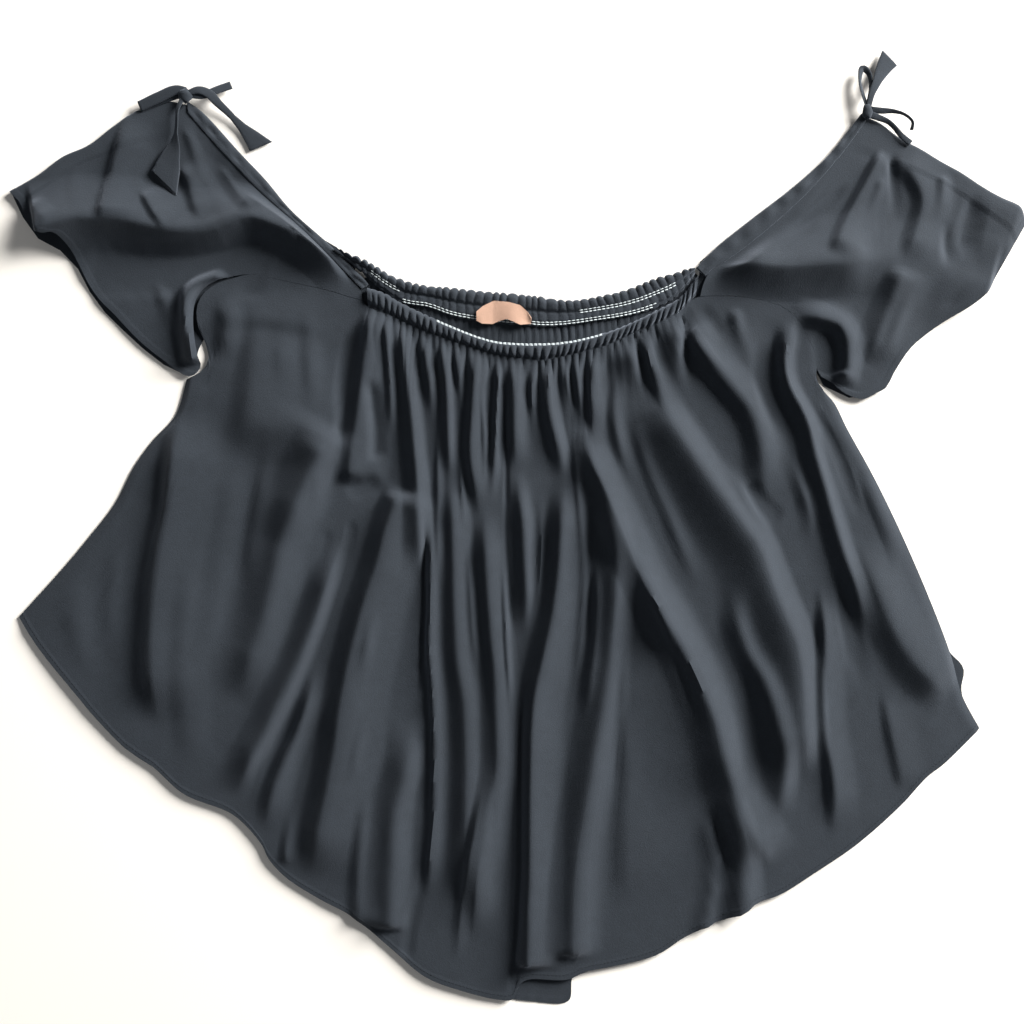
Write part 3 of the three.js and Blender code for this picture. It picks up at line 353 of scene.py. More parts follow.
# The long folds and troughs of the body.
LONG_FOLDS = [
    Fold(8.5, 13, 70, [
        (-266, 96), (-272, 60), (-276, 20), (-284, -20), (-289, -60), (-291, -100), (-286, -160),
    ], spread=1.1, crest=0.05),
    Fold(8.5, 26, 20, [
        (-146, 80), (-161, 45), (-177, 12), (-187, -20), (-194, -50), (-202, -80), (-214, -112),
        (-226, -140),
    ], start=24, crest=0.15),
    Fold(5.5, 58, 22, [(-140, 82), (-158, 48), (-175, 14), (-185, -16)], start=16, end=40, crest=0.15),
    Fold(8, 16, 9, [
        (-139, -5), (-150, -45), (-162, -80), (-173, -107), (-186, -135), (-198, -160), (-212, -185),
        (-228, -216),
    ]),
    Fold(6, 9, 14, [(-158, -105), (-165, -140), (-175, -162), (-186, -186), (-194, -212), (-199, -246)]),
    Fold(9.5, 15, 34, [
        (-90, 34), (-101, 2), (-110, -30), (-120, -60), (-129, -95), (-137, -130), (-142, -170),
        (-148, -205), (-156, -240), (-162, -284),
    ], start=14),
    Fold(7, 20, 14, [(-82, -150), (-87, -190), (-95, -225), (-98, -270), (-101, -322)], end=8),
    Fold(5, 5, 11, [
        (-67, 20), (-68, -60), (-69, -100), (-66, -140), (-65, -200), (-70, -300),
    ], crest=0.1),
    Fold(6, 11, 15, [
        (-53, 50), (-50, 0), (-49, -40), (-47, -80), (-45, -110), (-40, -150), (-40, -230), (-43, -300),
    ], spread=1.6),
    Fold(7, 12, 18, [
        (-24, 20), (-23, -40), (-20, -80), (-16, -120), (-15, -160), (-15, -190), (-23, -230),
        (-30, -275), (-34, -330),
    ]),
    Fold(6, 9, 8, [(1, 50), (6, 0), (8, -40), (8, -92)]),
    Fold(9, 12, 24, [
        (38, 45), (36, 0), (33, -40), (28, -75), (21, -105), (14, -140), (12, -200), (11, -260),
        (9, -352),
    ], end=6, crest=0.12),
    Fold(8, 19, 17, [
        (66, 34), (77, -10), (78, -50), (75, -90), (71, -130), (64, -170), (57, -215), (50, -260),
        (45, -345),
    ], end=10),
    Fold(9.5, 17, 19, [
        (54, 90), (58, 58), (72, 26), (85, -5), (100, -38), (118, -70), (133, -98), (145, -124),
        (157, -152), (165, -182), (173, -210), (188, -242), (206, -272),
    ], end=30, spread=1.5, crest=0.12),
    Fold(7.4, 14, 16, [
        (164, -205), (173, -232), (178, -262), (180, -290), (181, -318),
    ], start=36, end=3, crest=0.1),
    Fold(4.5, 50, 19, [
        (80, -5), (96, -38), (113, -70), (128, -98), (140, -124), (152, -152), (160, -182), (166, -215),
    ], start=50, end=40, crest=0.3),
    Fold(4, 12, 5, [
        (148, -225), (158, -250), (160, -272), (158, -292), (151, -322),
    ], start=24, end=3, crest=0.08),
    Fold(2.5, 6, 60, [(90, -90), (86, -150), (87, -200), (84, -250), (86, -310)], crest=0.2),
    Fold(11, 34, 18, [
        (110, 118), (118, 92), (131, 71), (153, 38), (177, 4), (190, -15), (199, -40), (209, -65),
        (220, -92), (225, -130), (228, -205),
    ]),
    Fold(7, 12, 20, [
        (136, 160), (153, 132), (172, 110), (186, 92), (194, 68), (196, 45), (203, 20),
    ], start=8),
    Fold(7, 11, 10, [
        (226, 172), (218, 158), (213, 130), (217, 112), (225, 97), (232, 80), (237, 58), (244, 35),
        (254, 0), (261, -25), (274, -65), (282, -100),
    ], start=30, end=70, crest=0.15),
    Fold(5, 6, 18, [
        (243, -40), (245, -80), (244, -120), (245, -160), (252, -205), (253, -250),
    ], crest=0.12),
    Fold(7, 19, 30, [(272, -4), (285, -45), (300, -80), (322, -112), (350, -136)], start=50, end=30),
    Fold(2.4, 5, 20, [(291, -120), (296, -150), (302, -180), (309, -212)], start=40, end=20, crest=0.2),
    Fold(6, 14, 12, [
        (172, -40), (176, -75), (184, -98), (197, -122), (207, -155), (212, -190), (207, -240),
    ]),
    Fold(5, 30, 60, [(-246, 78), (-190, 83), (-136, 80)], start=50, end=10, crest=0.25),
    Fold(3.6, 15, 56, [
        (-199, 176), (-206, 148), (-209, 114), (-214, 76), (-222, 40),
    ], end=50, crest=0.35),
    Fold(-4, 9, 8, [(-262, 116), (-226, 117)]),
    Fold(7, 11, 26, [(-114, 178), (-121, 120), (-128, 75), (-133, 32)], start=20, end=14, crest=0.15),
    Fold(3, 10, 12, [(-238, 186), (-229, 165), (-236, 134)], start=20, end=20, crest=0.5),
    Fold(-6, 13, 10, [(203, 172), (201, 150), (202, 120), (208, 92), (222, 66)]),
]

# The gathers that run down from the front neck casing.
GATHERS = [
    Fold(4, 5, 5, [(-104, 170), (-99.5, 120), (-98, 66)]),
    Fold(7, 11, 9, [(-92, 165), (-86, 120), (-80, 60), (-77, 10), (-77, -40)]),
    Fold(4.5, 6.5, 6, [(-76, 158), (-69, 120), (-66, 80)]),
    Fold(5.5, 7, 7, [(-60, 152), (-56, 120), (-53, 60), (-52, 30)]),
    Fold(4, 4.5, 6, [(-48, 148), (-45, 120), (-44, 88)]),
    Fold(6, 7, 14, [(-35, 144), (-33, 120), (-36, 60), (-27, 5)]),
    Fold(4.5, 4.5, 5, [(-16, 138), (-14.5, 120), (-17, 60), (-19, 20)]),
    Fold(6, 8.5, 11, [(-2, 136), (-1.5, 100), (0, 40)]),
    Fold(4, 4, 5, [(13, 134), (13.5, 100), (14, 72)]),
    Fold(6, 8, 8, [(25, 134), (26, 100), (36, 52), (38, 30)]),
    Fold(4, 7, 3.5, [(38, 137), (41, 108), (43, 84)]),
    Fold(5, 5, 6, [(47, 139), (50, 110), (53, 78)]),
    Fold(6, 5, 12, [(61, 142), (60, 110), (63, 64)]),
    Fold(7, 22, 4, [(90, 153), (96, 122), (98, 100)]),
    Fold(6, 5, 11, [(101, 158), (104, 140), (112, 114), (121, 88)]),
    Fold(7, 16, 8, [(127, 170), (129, 135), (134, 104)]),
]

# The folds and creases of both sleeves.
SLEEVE_FOLDS = [
    Fold(13, 27, 40, [
        (-384, 236), (-362, 241), (-340, 245), (-310, 243), (-270, 236), (-240, 237), (-210, 246),
        (-190, 240), (-165, 228), (-148, 213), (-128, 190),
    ], start=6, end=50, spread=0.8, crest=0.1),
    Fold(-5.5, 20, 20, [
        (-345, 201), (-300, 204), (-262, 205), (-232, 212), (-205, 222), (-182, 224),
    ], start=14, crest=0.4),
    Fold(8, 5, 14, [
        (-254, 130), (-257, 145), (-261, 162), (-261, 180), (-254, 192), (-242, 199), (-226, 202),
    ], start=6, end=14, spread=1, crest=0.4),
    Fold(4, 5, 36, [(-307, 330), (-318, 298), (-324, 270), (-327, 242)], start=26, end=12, crest=0.12),
    Fold(3.6, 5, 24, [(-298, 271), (-287, 253), (-274, 235)], start=12, end=16, crest=0.12),
    Fold(3.6, 6, 20, [(-266, 292), (-257, 266), (-248, 242)], start=14, end=16, crest=0.15),
    Fold(3.2, 8, 12, [(-238, 292), (-223, 270), (-206, 250)], start=12, end=14, crest=0.15),
    Fold(-4, 17, 14, [(-250, 305), (-230, 284), (-213, 256), (-203, 244)]),
    Fold(12.5, 25, 36, [
        (150, 208), (180, 209), (215, 207), (255, 210), (290, 214), (308, 213),
    ], start=44, end=50, crest=0.12),
    Fold(5, 40, 34, [
        (275, 212), (300, 213), (325, 208), (350, 199), (380, 191),
    ], start=30, end=6, crest=0.25),
    Fold(6.5, 10, 15, [
        (214, 172), (230, 169), (246, 166), (257, 161), (263, 150), (264, 138), (261, 125), (258, 112),
    ], start=30, end=12, spread=1, crest=0.35),
    Fold(5, 13, 30, [(307, 208), (298, 182), (289, 158), (280, 130)], start=10, end=20, crest=0.12),
    Fold(-5, 12, 12, [(245, 160), (249, 138), (251, 121)], start=14, end=6, crest=0.4),
    Fold(-3.5, 5, 6, [(264, 274), (240, 253), (208, 229)], start=20, crest=0.15),
    Fold(4.4, 5, 26, [(292, 301), (278, 274), (263, 248), (249, 216)], start=10, end=14, crest=0.1),
    Fold(-3.5, 5, 6, [(298, 298), (301, 270), (302, 240)], start=10, crest=0.12),
    Fold(4.2, 8, 26, [
        (297, 300), (315, 280), (323, 262), (318, 238), (309, 212),
    ], start=24, end=20, crest=0.15),
    Fold(-3, 8, 14, [(366, 268), (358, 240), (350, 212)], start=20, end=20),
    # finer creases of the left sleeve
    Fold(2.4, 7, 9, [(-352, 292), (-352, 268), (-346, 250)], crest=0.2),
    Fold(2, 5, 7, [(-262, 318), (-256, 296), (-246, 272)], start=8, crest=0.2),
    Fold(2, 5, 7, [(-206, 264), (-200, 250), (-196, 240)], start=6, crest=0.2),
    Fold(-2.4, 5, 7, [(-176, 238), (-170, 226), (-166, 216)], start=6, crest=0.2),
    Fold(-2, 6, 7, [(-326, 236), (-318, 216), (-308, 196), (-296, 176)], crest=0.2),
    Fold(2, 7, 9, [(-346, 232), (-334, 206), (-318, 184)], crest=0.2),
    Fold(2, 7, 9, [(-300, 232), (-290, 206), (-280, 180), (-272, 150)], crest=0.2),
    Fold(-2.2, 6, 7, [(-276, 224), (-272, 196), (-268, 168), (-264, 138)], crest=0.2),
    Fold(2, 8, 10, [(-384, 262), (-376, 250), (-366, 240)], start=8, end=10, crest=0.2),
    # finer creases of the right sleeve
    Fold(2.2, 5, 7, [(247, 288), (236, 270), (218, 250), (204, 238)], start=8, crest=0.2),
    Fold(-2.4, 5, 7, [(222, 258), (206, 244), (190, 230), (174, 218)], start=8, crest=0.2),
    Fold(2, 5, 6, [(292, 280), (286, 262), (278, 244)], start=8, crest=0.2),
    Fold(2.4, 6, 9, [(340, 282), (338, 260), (334, 238)], start=8, crest=0.2),
    Fold(-3, 6, 9, [(344, 246), (342, 226), (344, 206)], start=20, end=16, crest=0.2),
    Fold(5, 44, 12, [(404, 276), (396, 248), (388, 226), (376, 196)], start=30, end=34, crest=0.35),
    Fold(-2.4, 6, 8, [(334, 200), (326, 184), (318, 166)], crest=0.2),
    Fold(2.2, 6, 8, [(318, 196), (308, 176), (300, 154), (292, 132)], crest=0.2),
    Fold(-2.2, 5, 7, [(362, 194), (352, 186), (340, 174)], end=10, crest=0.2),
]

# Edges of the gathered neck casings and of the plain shoulder casings.
CASING_FRONT = {
    "upper": [
        (-118.6, 190.6), (-105, 186), (-92, 178.6), (-65, 165.6), (-45, 157), (-20, 148.4), (0, 146),
        (28, 146), (50, 149), (75, 156), (90, 162), (115, 174), (130, 182.4), (145, 200.4),
    ],
    "lower": [
        (-118, 178.4), (-100, 170.6), (-85, 163.6), (-60, 153.6), (-30, 144), (-14, 139.2), (0, 137.2),
        (20, 135.4), (38, 138.6), (55, 142.4), (75, 148.4), (90, 155.4), (110, 163.4), (125, 170.4),
        (133.6, 177.4), (143.4, 187.6),
    ],
}

CASING_BACK = {
    "upper": [
        (-143.6, 223.2), (-130, 216.6), (-117, 211), (-100, 201), (-80, 194), (-50, 190.6), (-20, 187.4),
        (10, 185), (40, 181), (60, 183), (90, 190), (110, 198), (130, 203.6), (142, 207.6),
    ],
    "lower": [
        (-141.2, 221.2), (-130, 210), (-117.2, 199.4), (-105, 188.8), (-91, 180.4), (-70, 176.6),
        (-50, 169.4), (-30, 165.8), (0, 162.8), (25, 161.2), (45, 162.8), (65, 165.8), (85, 168.8),
        (100, 172.4), (114, 177.4), (127, 184.6), (136, 193.6), (142.6, 202.6),
    ],
}

STRIP_LEFT = {
    "outer": [
        (-262.5, 341), (-250, 332), (-220, 299.4), (-200, 278.4), (-180, 254.4), (-150, 227.4),
        (-135, 212.4), (-122, 200), (-117.4, 194.6),
    ],
    "inner": [
        (-261.6, 332.6), (-232.6, 300.4), (-200.6, 267.4), (-170.6, 240.4), (-148.6, 219.2),
        (-130.4, 200.6), (-121.4, 191.4),
    ],
}

STRIP_RIGHT = {
    "outer": [(275.6, 331), (250, 298.6), (220, 271.6), (190, 248.6), (160, 224.6), (143.6, 208)],
    "inner": [
        (278, 326), (259, 300.4), (231.4, 269), (195.4, 236.4), (167.6, 215.4), (155.4, 208),
        (149.4, 201.6),
    ],
}

# Finer creases between the main folds.
FINE_FOLDS = [
    # left side of the body
    Fold(-5, 9, 9, [(-250, 158), (-246, 146), (-242, 134)], start=8, end=8, crest=0.3),
    Fold(1.4, 12, 16, [(-222, 60), (-230, 0), (-240, -60), (-248, -130)], crest=0.4),
    Fold(1.6, 12, 18, [(-256, -20), (-262, -80), (-262, -150), (-258, -200)], crest=0.4),
    Fold(2, 7, 10, [(-312, 0), (-322, -50), (-326, -110)], crest=0.3),
    Fold(2, 8, 14, [(-345, -30), (-352, -70), (-345, -120)], crest=0.3),
    Fold(1.2, 8, 12, [(-188, 175), (-186, 140), (-184, 100)], crest=0.4),
    Fold(1.4, 7, 10, [(-166, 182), (-165, 150), (-162, 110), (-160, 84)], crest=0.4),
    Fold(-3.5, 5, 8, [(-133, 168), (-136, 140), (-140, 110), (-146, 84)], crest=0.15),
    Fold(2.2, 10, 22, [(-250, 165), (-215, 168), (-175, 165), (-140, 158)], crest=0.4),
    Fold(-3.5, 10, 14, [(-209, 216), (-214, 198), (-214, 180)], start=8, end=12),
    Fold(2.6, 7, 12, [(-196, 70), (-202, 30), (-210, -10), (-216, -50)], crest=0.2),
    Fold(2.2, 5, 7, [(-152, 60), (-158, 30), (-164, 4)], crest=0.15),
    # pleat tips and pockets left of the middle
    Fold(-3, 9, 14, [(-136, 26), (-122, 32), (-106, 40)], start=14, end=14, crest=0.35),
    Fold(-4, 6, 9, [(-116, 120), (-113, 84), (-112, 54)], start=14, end=6, crest=0.15),
    Fold(-3, 6, 7, [(-150, -2), (-156, -22), (-160, -40)], start=8, crest=0.15),
    Fold(-3, 5, 6, [(-131, 6), (-134, -14), (-140, -36)], start=8, crest=0.15),
    Fold(-4, 6, 8, [(-172, -128), (-180, -160), (-192, -184), (-204, -222)], crest=0.15),
    Fold(2.6, 4, 7, [(-118, -150), (-127, -180), (-132, -206)], crest=0.12),
    Fold(2.6, 5, 7, [(-112, -60), (-118, -95), (-124, -128)], crest=0.15),
    Fold(3, 6, 9, [(-176, -216), (-181, -244), (-184, -270)], end=10, crest=0.15),
    Fold(3.4, 7, 14, [(-116, -205), (-122, -240), (-126, -290), (-124, -318)], end=10, crest=0.2),
    Fold(-3, 5, 5, [(-72, -256), (-76, -284), (-84, -318), (-88, -344)], end=8, crest=0.15),
    Fold(-2.4, 3, 3, [(-73, 16), (-73, -50), (-75, -100), (-79, -140)], crest=0.1),
    Fold(2, 3.5, 5, [(-60, 96), (-62, 50), (-62, 0), (-61, -50)], crest=0.12),
    Fold(2.2, 4, 5, [(-38, -10), (-36, -50), (-33, -90), (-28, -124)], crest=0.12),
    Fold(2.4, 3, 4, [(-44, 70), (-43, 30), (-41, -4)], crest=0.12),
    Fold(2.2, 3, 4, [(-27, 118), (-25, 70), (-24, 30)], crest=0.1),
    Fold(-2.2, 2.5, 3, [(-9, 120), (-8, 70), (-8, 20), (-6, -40), (-2, -90)], crest=0.1),
    Fold(2.2, 3, 4, [(-11, -20), (-9, -60), (-6, -110), (-4, -150)], crest=0.12),
    Fold(2.2, 3, 4, [(19, 30), (20, -10), (18, -50), (13, -90)], crest=0.12),
    Fold(-2.6, 4, 4, [(6, -120), (4, -180), (4, -240), (2, -310), (-3, -368)], end=4, crest=0.1),
    Fold(2.2, 5, 7, [(-24, -200), (-33, -240), (-42, -290), (-48, -350)], crest=0.2),
    Fold(2.4, 4, 6, [(46, 70), (50, 20), (54, -30), (52, -80), (48, -130)], crest=0.15),
    Fold(2.6, 5, 6, [(62, -10), (64, -60), (60, -110), (52, -160)], crest=0.15),
    # right of the main diagonal
    Fold(3, 5, 9, [(80, 130), (78, 90), (84, 60), (96, 30)], crest=0.15),
    Fold(2.6, 6, 9, [(92, 90), (104, 50), (120, 14), (134, -20), (148, -52)], crest=0.15),
    Fold(2.6, 5, 8, [(100, -36), (112, -64), (124, -92), (134, -118)], crest=0.12),
    Fold(-3, 8, 8, [(116, -70), (128, -102), (140, -134), (150, -170)], crest=0.15),
    Fold(2.6, 6, 8, [(160, 60), (176, 36), (190, 14), (202, -4)], crest=0.15),
    Fold(-4, 7, 9, [(184, 38), (194, 20), (210, 4)], start=8, end=8, crest=0.15),
    Fold(3, 6, 8, [(140, 150), (158, 130), (176, 116)], start=8, crest=0.15),
    Fold(-3.4, 5, 8, [(146, 176), (158, 160), (172, 148)], start=8, crest=0.15),
    Fold(-3, 5, 6, [(133, 176), (136, 150), (140, 124), (146, 104)], start=6, crest=0.12),
    Fold(3, 6, 8, [(172, 176), (180, 150), (190, 130)], start=8, crest=0.15),
    Fold(3, 8, 9, [(214, 66), (224, 40), (233, 12), (236, -20)], crest=0.15),
    Fold(-3, 6, 6, [(234, 104), (244, 84), (256, 60), (266, 30), (276, 2)], crest=0.15),
    Fold(2.2, 6, 9, [(272, 60), (284, 26), (298, -10), (306, -40)], crest=0.2),
    Fold(-3.4, 8, 9, [(256, -30), (262, -62), (270, -100), (276, -130)], crest=0.15),
]

# The lengths over which a gather fades in and out.
GATHER_FADE = {"start": 20, "end": 40}

ALL_FOLDS = [
    *LONG_FOLDS, *FINE_FOLDS, *(g._replace(**GATHER_FADE) for g in GATHERS), *SLEEVE_FOLDS,
]

# How finely the cloth is stepped: points along a line, along a fold and along a grid's line, columns for each
# one that a table counts, and rows.
CURVE_STEPS = 480
FOLD_STEPS = 28
PLAN_STATIONS = 60
FRONT_FINER = 4
BACK_FINER = 14
SLEEVE_FINER = 5
FRONT_FINE_ROWS = 140
BACK_FINE_ROWS = 70
BACK_LAYER_ROWS = 10
SLEEVE_STATIONS = 130
TURN_STEPS = 10
FOLD_ROWS = 8

# Where a sleeve meets its shoulder casing: its height there, and how far in it rises to its own.
NECK_EDGE_HEIGHT = 4.0
NECK_EDGE_REACH = 20.0

# Side seams and the heights that the thin cloth keeps.
SEAM_ROUND = 5.0
SEAM_HEIGHT = 1.25
BACK_SHELL_MIDDLE = 0.5
FRONT_SHELL_LOWEST = 1.7
FLOOR_CLEAR = 0.05
SHARP_ANGLE = 60

# How softly a fold's flanks run out.
FOOT = 1.35

# How many waves make the cloth uneven, and how their lengths vary.
WAVES = 14
WAVE_RANGE = (0.6, 1.7)

# How far the folds wander from their paths, and the low waves and ripples of each layer.
WANDER_X = Unevenness(0.3, 38, 7, 1.6)
WANDER_Y = Unevenness(0.3, 44, 8, 1.3)
FRONT_WAVES = Unevenness(0.35, 60, 3, 2.2)
FRONT_RIPPLES = Unevenness(0.05, 17, 5, 1.6)
BACK_WAVES = Unevenness(0.22, 40, 21, 3.5)
BACK_RIPPLES = Unevenness(0.1, 13, 22, 2.5)
BACK_WAVE_LIMITS = (-0.12, 0.3)

# The puckers under the neck casings: their pitch, where they end along X, how far down they reach, how they
# wander, their height and how much of it is there in the creases too.
GATHER_PITCH = 5.8
PUCKER_FADE = 8
PUCKER_REACH = 22
PUCKER_DEPTH = 1.3
PUCKER_BASE = 0.4
PUCKER_ENDS = (-122, 140)
PUCKER_WANDER = Unevenness(1.6, 60, 11)
BACK_PITCH = 5.6
BACK_PUCKER_REACH = 30
BACK_PUCKER_DEPTH = 1.2
BACK_PUCKER_BASE = 0.5
BACK_PUCKER_ENDS = (-122, 146)
BACK_PUCKER_WANDER = Unevenness(1.8, 60, 23)

# The back panel's puckers show from this far above the front casing, and rise over this length.
SHOWN_FROM = 0.5
SHOWN_FADE = 5


# Curves, grids and heights.


def spline(points, per_segment=40):
    """A smooth centripetal curve through the points, as a dense row of points."""
    p = np.array([(*q, 0.0)[:3] for q in points], float)
    p = np.vstack([2 * p[0] - p[1], p, 2 * p[-1] - p[-2]])
    u = np.linspace(0, 1, per_segment, endpoint=False)[:, None]
    runs = []
    for a, b, c, d in zip(p, p[1:], p[2:], p[3:]):
        before, here, after = (math.sqrt(np.linalg.norm(n - m)) for m, n in ((a, b), (b, c), (c, d)))
        leave = here * ((b - a) / before - (c - a) / (before + here) + (c - b) / here)
        reach = here * ((c - b) / here - (d - b) / (here + after) + (d - c) / after)
        bend = u**2 * (3 * (c - b) - 2 * leave - reach)
        runs.append(b + u * leave + bend + u**3 * (2 * (b - c) + leave + reach))
    return np.vstack([*runs, p[-2:-1]])


def run_lengths(points):
    """The distance along a row of points from its first to each of them."""
    return np.concatenate([[0.0], np.cumsum(np.linalg.norm(np.diff(points, axis=0), axis=1))])


def rows_run(grid):
    """The distance along each line of a grid from its first point."""
    return np.cumsum(np.linalg.norm(np.diff(grid, axis=1, prepend=grid[:, :1]), axis=2), axis=1)


def unit(vectors):
    """The same vectors at length 1."""
    return vectors / np.linalg.norm(vectors, axis=-1, keepdims=True)


def resample(points, distances):
    """Points at the given distances along a row of points."""
    run = run_lengths(points)
    return np.stack([np.interp(distances, run, points[:, k]) for k in range(points.shape[1])], axis=1)


class Line:
    """A smooth line through points, stepped evenly along its length."""

    def __init__(self, points, steps=CURVE_STEPS):
        dense = spline(points)
        self.length = run_lengths(dense)[-1]
        self.steps = resample(dense, np.linspace(0, self.length, steps + 1))

    def at(self, t):
        """Points at shares of the line's length."""
        place = np.clip(t, 0, 1) * (len(self.steps) - 1)
        i = np.minimum(np.floor(place).astype(int), len(self.steps) - 2)
        share = (place - i)[..., None]
        return self.steps[i] * (1 - share) + self.steps[i + 1] * share

    def nearest(self, point):
        """The share of the line's length at which it comes nearest to a point."""
        return np.argmin(((self.steps - point) ** 2).sum(axis=1)) / (len(self.steps) - 1)


def ease(t):
    """0 below 0, 1 above 1, and a soft rise between them."""
    s = np.clip(t, 0, 1)
    return s * s * (3 - 2 * s)


def between(x, low, high, fade):
    """1 between two places, with a soft fall to 0 at both."""
    return ease((x - low) / fade) * ease((high - x) / fade)


def lift_of(fold, x, y):
    """How far one fold lifts the cloth at points in plan."""
    line = Line(fold.path, FOLD_STEPS)
    steps = line.steps[:, :2]
    reach = max(fold.right, fold.left) * max(1, fold.spread)
    low, high = steps.min(axis=0) - reach, steps.max(axis=0) + reach
    near = (x > low[0]) & (x < high[0]) & (y > low[1]) & (y < high[1])
    lift = np.zeros_like(x)
    if not near.any():
        return lift
    px, py = x[near], y[near]
    best = np.full_like(px, np.inf)
    side = np.zeros_like(px)
    place = np.zeros_like(px)
    for i in range(FOLD_STEPS):
        (ax, ay), (dx, dy) = steps[i], steps[i + 1] - steps[i]
        t = np.clip(((px - ax) * dx + (py - ay) * dy) / (dx * dx + dy * dy), 0, 1)
        qx, qy = px - ax - t * dx, py - ay - t * dy
        distance = np.hypot(qx, qy)
        closer = distance < best
        best = np.where(closer, distance, best)
        side = np.where(closer, dx * qy - dy * qx, side)
        place = np.where(closer, (i + t) / FOLD_STEPS, place)
    flank = np.where(side > 0, fold.left, fold.right) * (1 + (fold.spread - 1) * place)
    across = np.clip(best / flank, 0, 1)
    along = ease(place * line.length / fold.start) * ease((1 - place) * line.length / fold.end)
    slope = (np.sqrt(across**2 + fold.crest**2) - fold.crest) / (math.sqrt(1 + fold.crest**2) - fold.crest)
    lift[near] = fold.rise * along * (1 - slope) ** FOOT
    return lift


def uneven(kind, x, y):
    """Soft seeded unevenness over the cloth, up to about its size to both sides of nought."""
    rng = np.random.default_rng(kind.seed)
    v = y / kind.stretch
    total = np.zeros_like(x)
    for _ in range(WAVES):
        angle, phase = rng.uniform(0, 2 * math.pi, 2)
        number = 2 * math.pi / (kind.wavelength * rng.uniform(*WAVE_RANGE))
        total += np.sin(number * (x * math.cos(angle) + v * math.sin(angle)) + phase)
    return kind.size * (total / math.sqrt(WAVES))


def pucker(phase, sharpness=0.6):
    """Rounded puffs with a sharp crease between them, from -1 in the crease to 1 on the puff."""
    return 2 * np.abs(np.cos(phase / 2)) ** sharpness - 1


def front_height(x, y, loft=FRONT_LOFT, depth=1.0):
    """Height of the middle of the front layer, lifted and sunk by all the folds."""
    total = np.zeros_like(x) + loft
    x = x + uneven(WANDER_X, x, y)
    y = y + uneven(WANDER_Y, x, y)
    for fold in ALL_FOLDS:
        total += depth * lift_of(fold, x, y)
    total += uneven(FRONT_WAVES, x, y) + uneven(FRONT_RIPPLES, x, y)
    free = total - FRONT_LOWEST
    return FRONT_LOWEST + SETTLE * np.logaddexp(0, free / SETTLE)


def plan_grid(lines, start_edge, end_edge, finer=1):
    """Points in plan between two edges, through lines that run from the one to the other. A line comes with the
    number of columns from it to the next, and finer columns are made for each."""
    start, end = Line(start_edge), Line(end_edge)
    curves = [Line(path) for path, _ in lines]
    s = np.linspace(0, 1, PLAN_STATIONS)
    columns = []
    for i, (_, count) in enumerate(lines):
        a, b = curves[i], curves[min(i + 1, len(lines) - 1)]
        starts = [start.nearest(c.at(np.array(0.0))) for c in (a, b)]
        ends = [end.nearest(c.at(np.array(1.0))) for c in (a, b)]
        count = max(count * finer, 1)
        for w in np.arange(count) / count:
            middle = (1 - w) * a.at(s) + w * b.at(s)
            first = start.at(np.array(starts[0] + (starts[1] - starts[0]) * w)) - middle[0]
            last = end.at(np.array(ends[0] + (ends[1] - ends[0]) * w)) - middle[-1]
            columns.append(middle + first * ((1 - s) ** 2)[:, None] + last * (s**2)[:, None])
    return np.array(columns)


# Distances from a cut edge at which the hem has its own rows of points, the row that is stitched and the row
# where the turned hem steps down to the cloth.
HEM_ROWS = (0.0, 0.7, 2.2, 3.8, 4.8, 5.6, 7.0)
STITCHED_ROW = 3
STEP_ROW = 4


def with_hem(grid, rows, at_start=False):
    """The same lines with evenly spaced rows, and close rows along the hem."""
    out = []
    for line in grid[:, ::-1] if not at_start else grid:
        total = run_lengths(line)[-1]
        places = np.concatenate([HEM_ROWS, np.linspace(HEM_ROWS[-1], total, rows + 1)[1:]])
        out.append(resample(line, places))
    out = np.array(out)
    return out if at_start else out[:, ::-1]


def normals_of(grid):
    """The cloth's normals at a grid's points."""
    along = np.gradient(grid, axis=0)
    across = np.gradient(grid, axis=1)
    normal = np.cross(along, across)
    return normal / np.maximum(np.linalg.norm(normal, axis=2, keepdims=True), 1e-9)


# Meshes.


def mesh_piece(name, points, faces):
    """A new object from points in millimetres and faces, shaded smooth."""
    points = np.asarray(points, float) * MM
    mesh = bpy.data.meshes.new(name)
    mesh.from_pydata(points.tolist(), [], [tuple(int(k) for k in f) for f in faces])
    mesh.validate()
    mesh.polygons.foreach_set("use_smooth", [True] * len(mesh.polygons))
    mesh.update()
    piece = bpy.data.objects.new(name, mesh)
    bpy.context.scene.collection.objects.link(piece)
    return piece


def grid_faces(rows, columns, offset=0, flip=False, closed=False):
    """Quads over a grid of points, joined round its columns where it is closed."""
    span = columns if closed else columns - 1
    i, j = np.meshgrid(np.arange(rows - 1), np.arange(span), indexing="ij")
    nxt = (j + 1) % columns
    corners = (i * columns + j, (i + 1) * columns + j, (i + 1) * columns + nxt, i * columns + nxt)
    quads = np.stack(corners, axis=2).reshape(-1, 4) + offset
    return quads[:, ::-1] if flip else quads


def tube_faces(rows, columns, offset=0):
    """Faces of a tube of rings with flat ends."""
    last = offset + (rows - 1) * columns
    ends = [list(range(offset, offset + columns)), list(range(last + columns - 1, last - 1, -1))]
    return grid_faces(rows, columns, offset, closed=True).tolist() + ends


